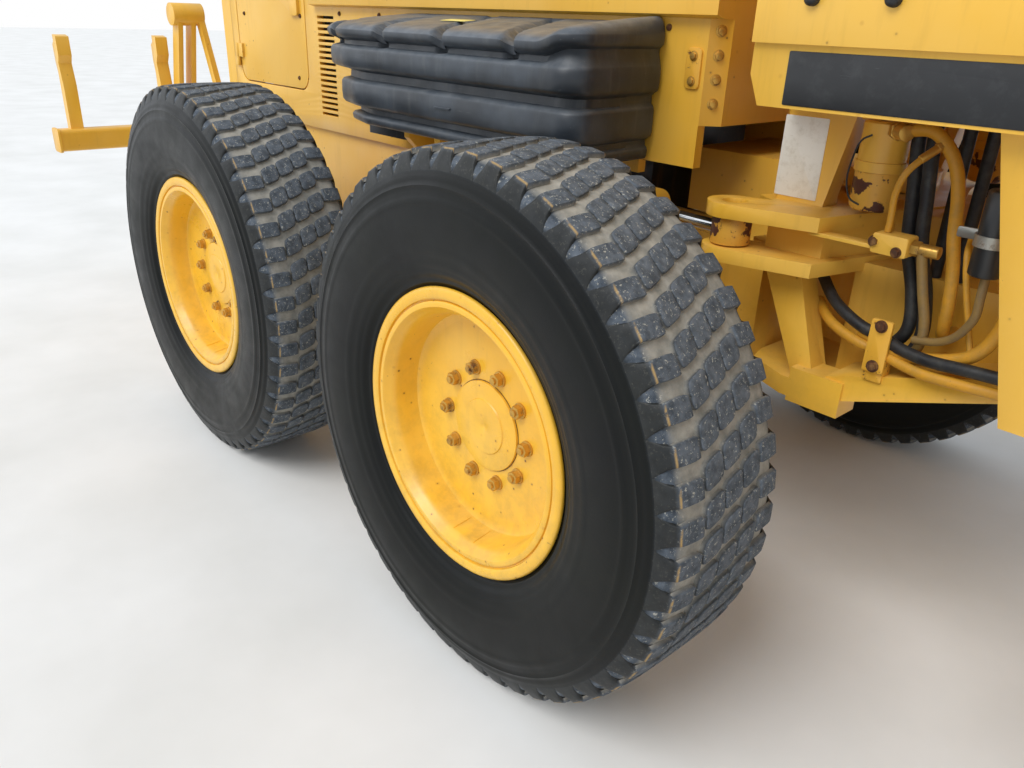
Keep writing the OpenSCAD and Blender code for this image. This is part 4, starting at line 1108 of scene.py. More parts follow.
@dataclass
class Rim:
    """A five-piece disc rim: outer flange ring, gutter, side ring, rolled lip and a deep
    barrel with its weld seam, ten studs with nuts and a hub cover."""

    name: str
    body: str
    centre_x: float
    side: Side
    hub_in: float
    flange: float = 362.0
    seat: float = 311.9
    bore: float = 60.2
    disc_y: float = 62.0
    cover: float = 116.0
    nut_circle: float = 148.0
    studs: int = 10
    segments: int = 112
    cover_segments: int = 96
    hub_segments: int = 72

    def barrel(self) -> Patch:
        """The rolled steel section carried round the axle.

        Returns:
            The closed ring around the wheel's own middle, outer side at +y.
        """
        # Radius and distance from the middle plane: out from the tyre's seat over the
        # rings, in to the disc's bore, and back along the inner side.
        f = self.flange
        outer = np.array([
            [self.seat, 138], [330, 141], [346, 142.5], [354, 143.5], [f - 1.5, 146], [f, 150],
            [f - 0.8, 154], [f - 4, 157], [f - 10, 158.5], [f - 24, 158], [f - 28.5, 155.5],
            [f - 30, 149], [f - 33, 148.5], [f - 35, 153.5], [f - 39, 155.5], [f - 48, 154.5],
            [f - 52, 150], [f - 56, 144], [302, 139], [297, 133], [293, 122], [290, 100],
            [286, self.disc_y + 14], [283, self.disc_y + 4], [276, self.disc_y],
            [260, self.disc_y - 3], [190, self.disc_y - 4], [self.bore, self.disc_y - 4]])
        inner = np.array([
            [self.bore, self.disc_y - 20], [230, self.disc_y - 22], [270, self.disc_y - 26],
            [279, self.disc_y - 40], [279, -70], [284, -118], [293, -134], [312, -143],
            [f - 27, -152], [f - 18, -157.5], [f - 6, -157], [f, -151], [f - 2, -146],
            [346, -142.5], [330, -141], [self.seat, -138], [self.seat, -60],
            [self.seat, 60]])
        profile = np.concatenate([outer, inner])
        return turned(profile, (0, 0, 0), self.segments)

    def seam(self) -> Patch:
        """Two short weld beads across the barrel at its foot: tubes whose radius swells and
        narrows as a sine along them.

        Returns:
            The closed surfaces.
        """
        beads = []
        for angle in (math.radians(172), math.radians(188)):
            y = np.linspace(self.disc_y + 8, 128, 16)
            radius = np.interp(y, [self.disc_y, 100, 122, 133], [284, 289.5, 292.5, 297])
            wave = 0.5 * np.sin(y * 0.9)
            path = np.stack([radius * np.sin(angle), y, radius * np.cos(angle)], -1)
            beads.append(swept_tube(path, 2.2 + wave, 8))
        return joined(beads)

    def cover_plate(self) -> Patch:
        """The hub cover: a disc with a rounded edge, a raised inner circle and a dimple.

        Returns:
            The surface, closed by a lid at its middle.
        """
        y = self.disc_y - 4
        c = self.cover
        profile = np.array([[0.4, y + 9], [5, y + 9], [9, y + 11.5], [c * 0.56, y + 12],
                            [c * 0.6, y + 11.5], [c * 0.62, y + 8.5], [c * 0.66, y + 7.8],
                            [c - 5, y + 7.5], [c - 1, y + 6], [c, y + 3], [c, y - 1]])
        lid = turned(profile[::-1], (0, 0, 0), self.cover_segments, closed=False)
        count = len(profile)
        hole = (np.arange(self.cover_segments) * count + count - 1)[None]
        lid.faces.append(hole[:, ::-1])
        return lid

    def hub(self) -> Patch:
        """The hub behind the disc, round the axle's end.

        Returns:
            The closed ring.
        """
        inward = self.hub_in - TRACK_HALF
        profile = np.array([[self.bore, inward], [150, inward], [150, inward + 40],
                            [138, inward + 60], [138, self.disc_y - 21],
                            [self.bore, self.disc_y - 21]])
        return turned(profile[::-1], (0, 0, 0), self.hub_segments)

    def nuts(self) -> Patch:
        """The hexagon nuts on their washers, with the stud's end in each.

        Returns:
            The closed surfaces.
        """
        parts = []
        for k in range(self.studs):
            a = (k + 0.5) * 2 * math.pi / self.studs
            centre = np.array([self.nut_circle * math.sin(a), self.disc_y - 4,
                               self.nut_circle * math.cos(a)])
            # Washer, nut and stud: radius, sides, turn, height and rounded edge.
            for radius, sides, turn, height, bevel in (
                    (19.5, 20, 0.0, 5, 1.5), (17, 6, 0.7 * k, 21, 2.6), (9, 12, 0.0, 27, 1.2)):
                parts.append(prism(polygon(radius, sides, turn), height, centre, Z, X, bevel))
        return joined(parts)

    def joint_line(self) -> Patch:
        """The dark gap round the hub cover, a thin ring that the paint leaves open.

        Returns:
            The closed ring.
        """
        c, y = self.cover, self.disc_y - 4
        profile = np.array([[c - 1, y - 1], [c - 1, y + 0.8], [c + 2.0, y + 0.8],
                            [c + 2.0, y - 1]])
        return turned(profile[::-1], (0, 0, 0), self.cover_segments)

    def place(self, patch: Patch) -> Patch:
        """Puts a surface of this wheel at its axle's end, turned out on its side."""
        turned_out = patch if self.side is Side.LEFT else patch.mirrored()
        return turned_out.moved(self.centre_x, self.side.value * TRACK_HALF, WHEEL_Z)

    def build(self) -> list[bpy.types.Object]:
        """Builds the rim, its nuts and the line round its hub cover.

        Returns:
            The rim's objects.
        """
        steel = joined([self.barrel(), self.seam(), self.cover_plate(), self.hub()])
        shell = put(f"disc_{self.name}", self.place(steel), RIM_YELLOW, self.body,
                    f"rim_{self.name}", smooth_under=38)
        nuts = put(f"nuts_{self.name}", self.place(self.nuts()), NUT, self.body)
        line = put(f"cover_line_{self.name}", self.place(self.joint_line()), RUSTY, self.body)
        return [shell, nuts, line]


# Tank.


@dataclass
class FuelTank:
    """The moulded tank beside the hood: proud belts with recesses between them, and a deck
    of sloping pads parted by slanting channels."""

    side: Side
    deck_z: float = 1534.0
    side_y: float = 830.0
    crown_rise: float = 17.0
    nose_rise: float = 20.0
    channels: tuple[float, ...] = (-380.0, -87.0, 207.0, 500.0)
    channel_width: float = 19.0
    channel_depth: float = 26.0
    slant: float = 0.54
    lip_row: int = 22
    steps: int = 360

    def rings(self, inset: np.ndarray) -> np.ndarray:
        """Plan outlines: key corners move by their own direction times the inset, the ring
        is sampled evenly, and a running mean rounds its corners.

        Args:
            inset: millimetres inside the widest outline, one for each ring.

        Returns:
            Array (rings, steps, 2).
        """
        keys = np.array([[-555, 450], [-548, 650], [-505, 760], [-310, 822],
                         [690, self.side_y],
                         [738, 780], [702, 450], [-555, 450]], float)
        moves = np.array([[1.1, 0.02], [1.1, -0.3], [1.0, -0.8], [0.5, -1], [-0.4, -1],
                          [-0.6, -0.7], [-0.4, 0.02], [1.1, 0.02]])
        length = np.concatenate([[0], np.cumsum(np.linalg.norm(np.diff(keys, axis=0), axis=1))])
        at = np.linspace(0, length[-1], self.steps, endpoint=False)
        even = np.stack([np.interp(at, length, keys[:, i]) for i in (0, 1)], -1)
        push = np.stack([np.interp(at, length, moves[:, i]) for i in (0, 1)], -1)
        ring = even[None] + push[None] * inset[:, None, None]
        return sum(np.roll(ring, k, axis=1) for k in range(-3, 4)) / 7.0

    def channel(self, x: np.ndarray, y: np.ndarray) -> np.ndarray:
        """How deep a point lies in a channel: a flat-topped bell across each slanting line,
        falling off by the fourth power of the distance from it.

        Args:
            x: stations of the points.
            y: their distances from the middle of the machine.

        Returns:
            0 outside the channels, 1 in their middles.
        """
        along = x + self.slant * (self.side_y - y)
        lines = np.array(self.channels)
        return np.exp(-(((along[..., None] - lines) / self.channel_width) ** 4)).max(-1)

    def shell(self) -> Patch:
        """The whole skin from the foot to the deck. The wall carries the plan outline up its
        belts; on the deck the height is a crown that rises from the rim, plus a slope up to
        the hood, less the channels' depth.

        Returns:
            The closed surface of the left tank.
        """
        # Height and inset of the wall's rows, then the inset of the deck's.
        wall = np.array([
            [1238, 165], [1241, 152], [1246, 70], [1252, 62], [1266, 60], [1274, 66],
            [1279, 84], [1294, 86], [1299, 62], [1305, 42], [1314, 35], [1340, 33],
            [1372, 34], [1381, 40], [1387, 60], [1408, 62], [1415, 42], [1421, 16],
            [1430, 9], [1452, 7], [1476, 8], [1484, 14], [1490, 33], [1503, 35], [1509, 16],
            [1514, 5], [1522, 1], [self.deck_z, 0]])
        deck = np.array([2, 6, 14, 26, 42, 62, 90, 125, 170, 220, 275, 325, 358.0])
        inset = np.concatenate([wall[:, 1], deck])
        ring = self.rings(inset)
        level = np.concatenate([wall[:, 0], np.full(len(deck), self.deck_z)])
        z = np.broadcast_to(level[:, None], ring.shape[:2]).copy()
        x, y = ring[..., 0], ring[..., 1]
        row = np.arange(len(inset))[:, None]
        lip = (row >= self.lip_row) & (row < len(wall))
        on_deck = row >= len(wall)
        # The tank's front end swells up by a smooth step.
        front = np.clip((x - 600) / 90, 0, 1)
        rise = self.nose_rise * front * front * (3 - 2 * front)
        z = z + lip * rise
        cut = self.channel(x, y)
        sink = self.channel_depth * cut
        crown = self.deck_z + self.crown_rise * (1 - np.exp(-inset / 14.0))[:, None] + rise
        slope = 36.0 * np.clip((822 - y) / 372, 0, 1) ** 0.9
        top = crown + slope * (1 - np.exp(-inset / 30.0))[:, None] - sink
        z = np.where(on_deck, top, z)
        # The channels also notch the lip and the deck's outer edge.
        y = y - np.where(lip | on_deck & (inset < 60)[:, None], sink * (y > 700), 0)
        z = z - lip * 14 * cut * (level > 1510)[:, None]
        points = np.stack([x, y, z], -1)
        skin = grid_patch(points, wrap_v=True)
        count = len(skin.points)
        lid = np.arange(count - self.steps, count)[None]
        foot = np.arange(self.steps)[None, ::-1]
        return Patch(skin.points, skin.faces + [lid, foot], skin.marks)

    def extras(self) -> Patch:
        """The low box behind the tank's foot and a parting rib on the middle belt.

        Returns:
            The closed surfaces.
        """
        box = prism(rounded_box_outline(250, 150, 22), 62, np.array([-385.0, 535, 1188]), X, Y, 8)
        rib = prism(rounded_box_outline(5, 74, 2), 4, np.array([190.0, 795, 1343]), Z, X, 1.2)
        return joined([box, rib])

    def build(self) -> list[bpy.types.Object]:
        """Builds the tank's skin, its low box and its blank label.

        Returns:
            The tank's objects.
        """
        name = self.side.name.lower()
        skin, extras = self.shell(), self.extras()
        label = prism(rounded_box_outline(118, 42, 3), 1.2, np.array([62.0, 640, 1571.5]),
                      X, np.array([0, 0.9955, -0.095]), 0.4)
        skin.faces = [f[:, ::-1] for f in skin.faces]
        parts = [(skin, "tank_skin", TANK), (extras, "tank_box", TANK),
                 (label, "tank_label", CREAM_PLATE)]
        made = []
        for patch, piece, finish in parts:
            turned_out = patch if self.side is Side.LEFT else patch.mirrored()
            nodes = ("fuel_tank",) if piece == "tank_skin" else ()
            made.append(put(f"{piece}_{name}", turned_out, finish, "rear_frame", *nodes,
                            smooth_under=55))
        return made


# Hydraulics of the bay behind the right step, fittings and blank plates.


@dataclass(frozen=True)
class Run:
    """One hose of the right bay: its radius, its cover and the points it passes through,
    with y counted out to the right."""

    name: str
    radius: float
    finish: Finish
    points: tuple[tuple[float, float, float], ...]
    fitted: bool = True
    step: float = 9.0
    sides: int = 18

    def knots(self) -> np.ndarray:
        """The points, with y turned to the right side."""
        return np.array(self.points, float) * (1, -1, 1)

    def tube(self) -> Patch:
        """The hose: a round tube on the smooth curve through its points.

        Returns:
            The closed surface, with a ring about every step.
        """
        knots = self.knots()
        length = np.linalg.norm(np.diff(knots, axis=0), axis=1).sum()
        return swept_tube(smooth_path(knots, int(length / self.step)), self.radius, self.sides)

    def fitting(self, first: bool) -> Patch:
        """A crimped ferrule and its hexagon nut at one end of the hose.

        Args:
            first: whether it sits on the first end.

        Returns:
            The closed surfaces.
        """
        knots = self.knots() if first else self.knots()[::-1]
        way = knots[1] - knots[0]
        way = way / np.linalg.norm(way)
        u = np.cross(way, X if abs(way[0]) < 0.9 else Y)
        u = u / np.linalg.norm(u)
        v = np.cross(way, u)
        nut = prism(polygon(self.radius * 1.55, 6), 18, knots[0] + way, u, v, 1.5)
        ferrule = prism(polygon(self.radius * 1.25, 20), 42, knots[0] + way * 17, u, v, 1.5)
        return joined([nut, ferrule])


CAD_RUNS: tuple[Run, ...] = (
    Run("cooler_hose", 14, HOSE_YELLOW, (
        (1305.6, 377.6, 1386), (1324.6, 396.6, 1386), (1386, 402, 1396), (1424, 400, 1374),
        (1455, 400, 1331), (1474, 400, 1271), (1486, 400, 1188), (1502, 400, 1111),
        (1511, 400, 1037), (1508, 385, 975), (1500, 340, 950), (1500, 290.2, 950))),
    Run("inner_hose", 15, HOSE, (
        (1345, 350, 1619.8), (1345, 350, 1500), (1345, 350, 1380), (1361, 350, 1244),
        (1377, 356, 1143), (1415, 368, 1044), (1430, 375, 966), (1413, 375, 922),
        (1380, 375, 900), (1335, 362, 893), (1320, 330, 893), (1320, 290.2, 893))),
    Run("outer_hose", 15, HOSE, (
        (1379, 352, 1619.8), (1379, 352, 1500), (1379, 352, 1383), (1395, 356, 1247),
        (1411, 364, 1146), (1449, 376, 1047), (1464, 380, 950), (1440, 380, 890),
        (1390, 376, 866), (1350, 345, 864), (1350, 290.2, 864))))
EXTRA_RUNS: tuple[Run, ...] = (
    Run("pilot_hose", 7.5, HOSE_YELLOW, (
        (1424, 400, 1374), (1400, 430, 1345), (1377, 450, 1310), (1364, 450, 1262),
        (1366, 450, 1215), (1366, 450, 1181))),
    Run("valve_hose", 11, HOSE_WORN, (
        (1426, 450, 1158), (1445, 450, 1158), (1455, 448, 1120), (1470, 445, 1060),
        (1485, 440, 1000), (1484, 430, 950), (1462, 410, 915), (1413, 395, 905),
        (1340, 395, 900))),
    Run("thin_line", 6.5, HOSE_YELLOW, (
        (1522, 402, 1190), (1535, 440, 1165), (1552, 450, 1105), (1578, 450, 1020),
        (1600, 450, 950)), False),
    Run("deck_hose", 15, HOSE_YELLOW, (
        (1640, 450, 1619), (1640, 450, 1430), (1640, 450, 1250), (1642, 450, 1199),
        (1646, 450, 1144), (1645, 450, 1073), (1631, 450, 1008), (1597, 450, 958),
        (1526, 440, 925), (1450, 430, 912), (1340, 410, 930))),
    Run("upper_side_hose", 14, HOSE, (
        (1180, 330, 1010), (1250, 385, 975), (1335, 420, 948), (1400, 425, 936),
        (1450, 440, 926), (1520, 458, 925),
        (1600, 470, 934), (1690, 474, 940), (1768, 474, 941)), False),
    Run("lower_side_hose", 12.5, HOSE_YELLOW, (
        (1180, 330, 950), (1250, 390, 925), (1335, 422, 908), (1400, 428, 900),
        (1455, 442, 893), (1520, 460, 892),
        (1600, 470, 899), (1690, 474, 906), (1768, 474, 910)), False),
    Run("wire_a", 2.2, WIRE_PALE, (
        (1640, 452, 1262), (1628, 478, 1290), (1640, 496, 1330), (1662, 492, 1310),
        (1660, 480, 1268), (1650, 470, 1232))),
    Run("wire_b", 2.2, WIRE_GREEN, (
        (1632, 456, 1250), (1618, 486, 1282), (1636, 508, 1318), (1668, 500, 1296),
        (1664, 486, 1250), (1652, 474, 1212))),
    Run("wire_c", 2.2, WIRE_PALE, (
        (1646, 460, 1240), (1634, 492, 1262), (1650, 510, 1300), (1676, 504, 1330),
        (1680, 486, 1282), (1660, 470, 1226))),
    Run("wire_d", 2.2, HOSE, (
        (1262, 398, 1372), (1240, 402, 1356), (1226, 398, 1312), (1222, 396, 1266),
        (1236, 396, 1228), (1262, 396, 1216))),
    Run("heater_line", 9, HOSE_WORN, (
        (1600, 500, 1142), (1600, 498, 1100), (1598, 490, 1058), (1580, 476, 1020),
        (1556, 462, 990), (1520, 450, 968), (1470, 436, 955)), False))


@dataclass
class Bay:
    """The bay between the hitch and the step post: filters, hoses, valve block, clamp and
    the blank plates on the plate work round it."""

    filter_x: float = 1268.0
    filter_y: float = 340.0
    dryer_x: float = 1595.0
    dryer_y: float = -500.0
    deck_under: float = 1619.0
    rods_x: tuple[float, ...] = (1420.0, 1470.0)
    rods_y: tuple[float, ...] = (-270.0, 270.0)
    rod_foot: float = 1060.0
    rod_radius: float = 14.0
    thickest_wire: float = 6.0
    clamp_x: float = 1402.0

    def filters(self) -> list[bpy.types.Object]:
        """The canisters with their band, the valve block and the slim filter: profiles of
        (radius, height) turned about their upright axes, and plates.

        Returns:
            Their objects.
        """
        yellow, flaking = [], []
        for side in Side:
            y = side.value * self.filter_y
            centre = (self.filter_x, y, 0)
            top = np.array([[0.5, 1400], [48, 1400], [53, 1396], [53, 1313], [57, 1312],
                            [57, 1290], [53, 1289], [53, 1288], [0.5, 1288]], float)
            pot = np.array([[0.5, 1289], [53, 1289], [53, 1214], [50, 1204], [44, 1200],
                            [0.5, 1200]], float)
            neck = np.array([[0.5, 1434], [24, 1434], [24, 1399], [0.5, 1399]], float)
            yellow.append(turned(top, centre, 40, "z"))
            yellow.append(turned(neck, (self.filter_x - 40, y, 0), 28, "z"))
            flaking.append(turned(pot, centre, 40, "z"))
        bracket = prism(rounded_box_outline(156, 40, 5), 8,
                        np.array([self.filter_x, -450, 1142]), X, Y, 1.5)
        valve = prism(rounded_box_outline(80, 45, 6), 50, np.array([1385.0, -425, 1157.5]),
                      X, Z, 3)
        made = [put("filter_heads", joined(yellow + [bracket, valve]), YELLOW, "front_frame",
                    "hydraulic_unit", smooth_under=50),
                put("filter_bowls", joined(flaking), RUSTY_YELLOW, "front_frame",
                    smooth_under=50)]
        can = np.array([[0.5, 1315], [27, 1315], [31, 1311], [31, 1149], [27, 1145],
                        [0.5, 1145]], float)
        top = self.deck_under
        stem = np.array([[0.5, top], [10, top], [10, 1314], [0.5, 1314]], float)
        strap = np.array([[31.2, 1205], [35, 1205], [35, 1228], [31.2, 1228]], float)
        at = (self.dryer_x, self.dryer_y, 0)
        made.append(put("dryer_can", joined([turned(can, at, 36, "z"), turned(stem, at, 16, "z")]),
                        BLACK, "front_frame", smooth_under=50))
        arm = prism(rounded_box_outline(92, 22, 5), 5, np.array([1560.0, -466, 1216.5]), X, Z, 1)
        made.append(put("dryer_strap", joined([turned(strap[::-1], at, 36, "z"), arm]), STEEL,
                        "front_frame", smooth_under=50))
        return made

    def hoses(self) -> list[bpy.types.Object]:
        """Every hose and wire with its end fittings, and the drain rods under the deck.

        Returns:
            Their objects.
        """
        top, foot, radius = self.deck_under, self.rod_foot, self.rod_radius
        rod = np.array([[0.5, top], [radius, top], [radius, foot], [0.5, foot]], float)
        rods = [turned(rod, (x, y, 0), 20, "z") for x in self.rods_x for y in self.rods_y]
        made = [put("drain_rods", joined(rods), HOSE, "front_frame", "hoses", smooth_under=50)]
        ends = []
        for run in CAD_RUNS + EXTRA_RUNS:
            nodes = ("hoses",) if run in CAD_RUNS else ()
            made.append(put(run.name, run.tube(), run.finish, "front_frame", *nodes))
            if run.fitted and run.radius > self.thickest_wire:
                ends.append(run.fitting(True))
        made.append(put("hose_fittings", joined(ends), NUT, "front_frame", smooth_under=45))
        return made

    def plates(self) -> list[bpy.types.Object]:
        """The blank label and panel, the hose clamp, buffers and bolts.

        Returns:
            Their objects.
        """
        label = prism(rounded_box_outline(116, 194, 3), 1.4, np.array([1072.0, -350, 1292.5]),
                      X, Z, 0.4)
        panel = prism(rounded_box_outline(1490, 102, 3), 1.6, np.array([1944.0, -688, 1492.5]),
                      X, Z, 0.4)
        at = self.clamp_x
        clamp = prism(rounded_box_outline(50, 128, 5), 9, np.array([at, -446, 920]), X, Z, 2)
        foot = prism(rounded_box_outline(46, 60, 4), 40, np.array([at, -408, 862]), X, Z, 2)
        bolts = [hex_bolt((at, -455, z), -Y, 11, 8, turn=0.4) for z in (970, 872)]
        bolts += [hex_bolt((1350, -472, 1160), -Y, 10, 8), hex_bolt((1404, -475, 1146), -Y, 9, 8)]
        buffers = [turned(np.array([[0.5, -716], [9, -716], [14, -711], [15, -699], [0.5, -699]],
                                   float)[::-1], (x, 0, 1638), 24) for x in (1237, 1395)]
        return [put("blank_label", label, PALE_PLATE, "front_frame"),
                put("blank_panel", panel, BLACK_PLATE, "front_frame"),
                put("hose_clamp", joined([clamp, foot]), YELLOW_EDGE, "front_frame"),
                put("clamp_bolts", joined(bolts), RUSTY, "front_frame"),
                put("door_buffers", joined(buffers), HOSE, "front_frame", smooth_under=50)]

    def build(self) -> list[bpy.types.Object]:
        """Builds the bay.

        Returns:
            Its objects.
        """
        return self.filters() + self.hoses() + self.plates()


@dataclass
class Hardware:
    """Bolts, screws, lenses, hinge plates and cushions that the CAD leaves out. A lamp is
    its lens's place and radius; a screw is its place on the side panel."""

    cheek_bolts: tuple[float, ...] = (1571, 1515, 1458, 1400)
    hinge_x: float = 792.0
    panel_screws: tuple[tuple[float, float], ...] = (
        (-940, 1575), (-655, 1575), (-1262, 1560), (-1305, 1313), (-1800, 1560),
        (-350, 1575), (-80, 1575), (190, 1575), (460, 1575), (700, 1575))
    lamps: tuple[tuple[float, float, float, float], ...] = (
        (2740, 560, 3245, 62), (6670, 240, 1590, 76))

    def hood(self) -> list[bpy.types.Object]:
        """Bolts and hinge plates on the cheeks, and the screws of the side panels.

        Returns:
            Their objects.
        """
        bolts, plates, screws = [], [], []
        for side in Side:
            s = side.value
            out = np.array([0.747, 0.664 * s, 0])
            bolts += [hex_bolt((845, s * 427.5, z), out, 10.5, 8, turn=0.3 * k)
                      for k, z in enumerate(self.cheek_bolts)]
            plates.append(prism(rounded_box_outline(46, 98, 12), 7,
                                np.array([self.hinge_x, s * 449.5, 1482]), -X * s, Z, 2))
            bolts += [hex_bolt((self.hinge_x, s * 456, z), Y * s, 9, 6) for z in (1512, 1452)]
            screws += [hex_bolt((x, s * 450, z), Y * s, 6.5, 4, turn=x)
                       for x, z in self.panel_screws]
        return [put("hood_bolts", joined(bolts), NUT, "rear_frame"),
                put("hinge_plates", joined(plates), YELLOW_EDGE, "rear_frame"),
                put("panel_screws", joined(screws), RUSTY, "rear_frame")]

    def lights(self) -> list[bpy.types.Object]:
        """Domed lenses in the roof and nose lamps.

        Returns:
            Their object.
        """
        lenses = []
        for side in Side:
            for x, y, z, r in self.lamps:
                dome = np.array([[r, -1], [r, 1.5], [r * 0.8, 4], [r * 0.4, 5.5], [0.5, 6],
                                 [0.5, -1]], float)
                lenses.append(turned(dome, (x, side.value * y, z), 40, "x"))
        return [put("lamp_lenses", joined(lenses), LENS, "front_frame", smooth_under=60)]

    def seat(self) -> list[bpy.types.Object]:
        """Cloth cushions on the seat and its back, both leaning a little back.

        Returns:
            Their objects.
        """
        u = np.array([0.995, 0, 0.1])
        base = prism(rounded_box_outline(360, 440, 60), 32, np.array([1690.0, 0, 2137]), u, Y, 16)
        lean = np.array([-0.135, 0, 0.99])
        back = prism(rounded_box_outline(440, 500, 70), 30, np.array([1420.0, 0, 2440]),
                     Y, lean, 15)
        made = []
        for name, patch in (("seat_cushion", base), ("back_cushion", back)):
            thing = put(name, patch, CLOTH, "front_frame", smooth_under=60)
            made.append(thing)
        return made

    def build(self) -> list[bpy.types.Object]:
        """Builds the hardware.

        Returns:
            Its objects.
        """
        return self.hood() + self.lights() + self.seat()


# Plate work, cast parts and rams: the CAD's own forms with their edges rounded. The tables
# give each node's width of rounding in millimetres.

PLATE_WORK: dict[str, float] = {
    "rear_frame": 4, "hood": 3, "radiator_grille": 2.5, "engine_door_r": 3,
    "engine_door_l": 3, "tandem_case_r": 6, "tandem_case_l": 6, "rear_axle": 5,
    "ripper": 5, "front_frame": 5, "cab": 5, "cab_door_r": 5, "cab_door_l": 5,
    "drawbar": 4, "circle": 4, "blade_carrier": 4, "moldboard": 3, "lift_barrel_r": 2.5,
    "lift_barrel_l": 2.5, "artic_barrel_r": 2.5, "artic_barrel_l": 2.5, "ripper_barrel": 2.5,
    "front_axle": 6, "lean_bracket_r": 4, "lean_bracket_l": 4, "knuckle_r": 4,
    "knuckle_l": 4, "lean_bar": 2}
BLACK_WORK: dict[str, float] = {
    "powertrain": 6, "exhaust_intake": 4, "steps": 3, "lamps": 4}
ROD_WORK: tuple[str, ...] = (
    "lift_rod_r", "lift_rod_l", "artic_rod_r", "artic_rod_l", "ripper_rod", "steer_rod",
    "drawbar_joint")
ROD_ENDS: dict[str, tuple[Zone, ...]] = {
    "artic_rod_r": (Zone(RUSTY_YELLOW, low=(915, -FAR, -FAR)),),
    "artic_rod_l": (Zone(RUSTY_YELLOW, low=(915, -FAR, -FAR)),),
    "drawbar_joint": (Zone(YELLOW),),
    "steer_rod": (Zone(YELLOW),)}
PLATE_ZONES: dict[str, tuple[Zone, ...]] = {
    "moldboard": (Zone(EDGE_STEEL, high=(FAR, FAR, 165)),),
    "ripper": (Zone(EDGE_STEEL, high=(-2700, FAR, 800)),)}


@dataclass
class PlateWork:
    """Everything whose form the CAD already has: copies with rounded, worn edges."""

    rod_edge: float = 1.5
    trim_edge: float = 8.0
    glass_edge: float = 1.0

    def build(self) -> list[bpy.types.Object]:
        """Dresses each node.

        Returns:
            The new objects.
        """
        made = [softened(n, YELLOW, YELLOW_EDGE, e, PLATE_ZONES.get(n, ()))
                for n, e in PLATE_WORK.items()]
        made += [softened(n, BLACK, BLACK, e) for n, e in BLACK_WORK.items()]
        made += [softened(n, CHROME, CHROME, self.rod_edge, ROD_ENDS.get(n, ())) for n in ROD_WORK]
        made.append(softened("cab_interior", TRIM, TRIM, self.trim_edge))
        made.append(softened("cab_glass", GLASS, GLASS, self.glass_edge))
        return made


# Studio.


@dataclass(frozen=True)
class Viewpoint:
    """The photograph's camera: where it stands and how it is turned."""

    place: tuple[float, float, float] = (2.1424 - DATUM_X / MM, -2.2528, 1.5889)
    yaw: float = 47.919
    pitch: float = 24.370
    roll: float = 1.996
    lens: float = 28.557
    sensor: float = 36.0
    reach: float = 200.0

    def build(self) -> bpy.types.Object:
        """Makes the camera: the view direction from yaw and pitch, then the roll about it.

        Returns:
            The camera.
        """
        yaw, pitch, roll = (math.radians(a) for a in (self.yaw, self.pitch, self.roll))
        ahead = np.array([-math.sin(yaw) * math.cos(pitch), math.cos(yaw) * math.cos(pitch),
                          -math.sin(pitch)])
        right = np.cross(ahead, Z)
        right = right / np.linalg.norm(right)
        up = np.cross(right, ahead)
        turned_right = math.cos(roll) * right + math.sin(roll) * up
        turned_up = -math.sin(roll) * right + math.cos(roll) * up
        data = bpy.data.cameras.new("camera")
        data.sensor_width = self.sensor
        data.lens = self.lens
        data.clip_end = self.reach
        camera = bpy.data.objects.new("camera", data)
        matrix = np.eye(4)
        matrix[:3, 0], matrix[:3, 1], matrix[:3, 2] = turned_right, turned_up, -ahead
        matrix[:3, 3] = self.place
        camera.matrix_world = Matrix(matrix.tolist())
        bpy.context.scene.collection.objects.link(camera)
        bpy.context.scene.camera = camera
        return camera


@dataclass(frozen=True)
class SoftSun:
    """A sun lamp with a wide disc: its turns about x, y and z and its spread, in degrees."""

    name: str
    turns: tuple[float, float, float]
    strength: float
    spread: float

    def build(self) -> None:
        """Makes the lamp."""
        data = bpy.data.lights.new(self.name, "SUN")
        data.energy = self.strength
        data.angle = math.radians(self.spread)
        lamp = bpy.data.objects.new(self.name, data)
        lamp.rotation_euler = tuple(math.radians(turn) for turn in self.turns)
        bpy.context.scene.collection.objects.link(lamp)


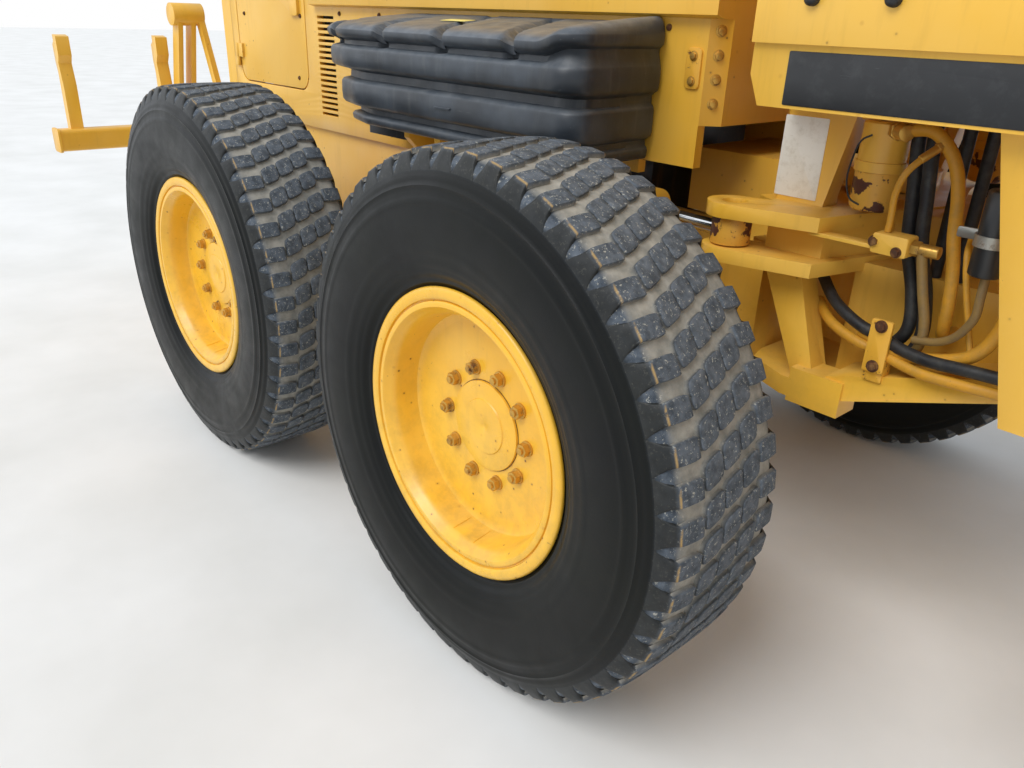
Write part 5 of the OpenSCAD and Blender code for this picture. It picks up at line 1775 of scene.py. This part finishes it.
@dataclass(frozen=True)
class Studio:
    """A pale floor under soft light, like a bright overcast day: a large soft sun from the
    upper left, a broad fill from the camera's side, and a sky whose colour is linear."""

    floor_half: float = 60.0
    floor_z: float = -0.001
    sky_strength: float = 0.78
    sky_colour: tuple[float, float, float, float] = (0.86, 0.92, 1.0, 1.0)
    suns: tuple[SoftSun, ...] = (SoftSun("key", (38, -14, 20), 1.9, 34),
                                 SoftSun("fill", (62, 0, -60), 0.55, 60))

    def floor(self) -> None:
        """A wide level sheet, a hair under the tyres."""
        h, z = self.floor_half, self.floor_z
        mesh = bpy.data.meshes.new("studio_floor")
        mesh.from_pydata([(-h, -h, z), (h, -h, z), (h, h, z), (-h, h, z)], [], [(0, 1, 2, 3)])
        mesh.materials.append(GROUND.material())
        floor = bpy.data.objects.new("studio_floor", mesh)
        bpy.context.scene.collection.objects.link(floor)

    def world(self) -> None:
        """Even sky light; the camera itself sees white."""
        world = bpy.data.worlds.new("overcast")
        world.use_nodes = True
        tree = world.node_tree
        sky = tree.nodes["Background"]
        sky.inputs["Color"].default_value = self.sky_colour
        sky.inputs["Strength"].default_value = self.sky_strength
        white = add_node(tree, "ShaderNodeBackground",
                         {"Color": linear("FFFFFF"), "Strength": 1.0})
        seen = add_node(tree, "ShaderNodeLightPath").outputs["Is Camera Ray"]
        mix = add_node(tree, "ShaderNodeMixShader", {0: seen, 1: sky.outputs[0],
                                                     2: white.outputs[0]})
        tree.links.new(mix.outputs[0], tree.nodes["World Output"].inputs["Surface"])
        bpy.context.scene.world = world

    def build(self) -> None:
        """Sets up the floor, suns, sky and colour management."""
        self.floor()
        for sun in self.suns:
            sun.build()
        self.world()
        bpy.context.scene.view_settings.view_transform = "Standard"


# Wheel places: name, station from the tandem pivot, and the distance of the hub's inner end
# from the middle plane.
WHEELS: tuple[tuple[str, float, float], ...] = (
    ("front_tandem", TANDEM_HALF, 855), ("rear_tandem", -TANDEM_HALF, 855),
    ("steer", AXLE_X, 940))


def build_wheels() -> list[bpy.types.Object]:
    """Builds all six wheels.

    Returns:
        Their objects.
    """
    made = []
    for side in Side:
        for place, x, hub in WHEELS:
            name = f"{place}_{side.name[0].lower()}"
            made.append(Tyre(name, f"wheel_{name}", x, side).build())
            made += Rim(name, f"wheel_{name}", x, side, hub).build()
    return made


def main() -> None:
    """Builds the machine and the studio."""
    Viewpoint().build()
    pieces: list[bpy.types.Object] = build_wheels()
    for side in Side:
        pieces += FuelTank(side).build()
    pieces += Bay().build() + Hardware().build() + PlateWork().build()
    Studio().build()


if __name__ == "__main__":
    main()
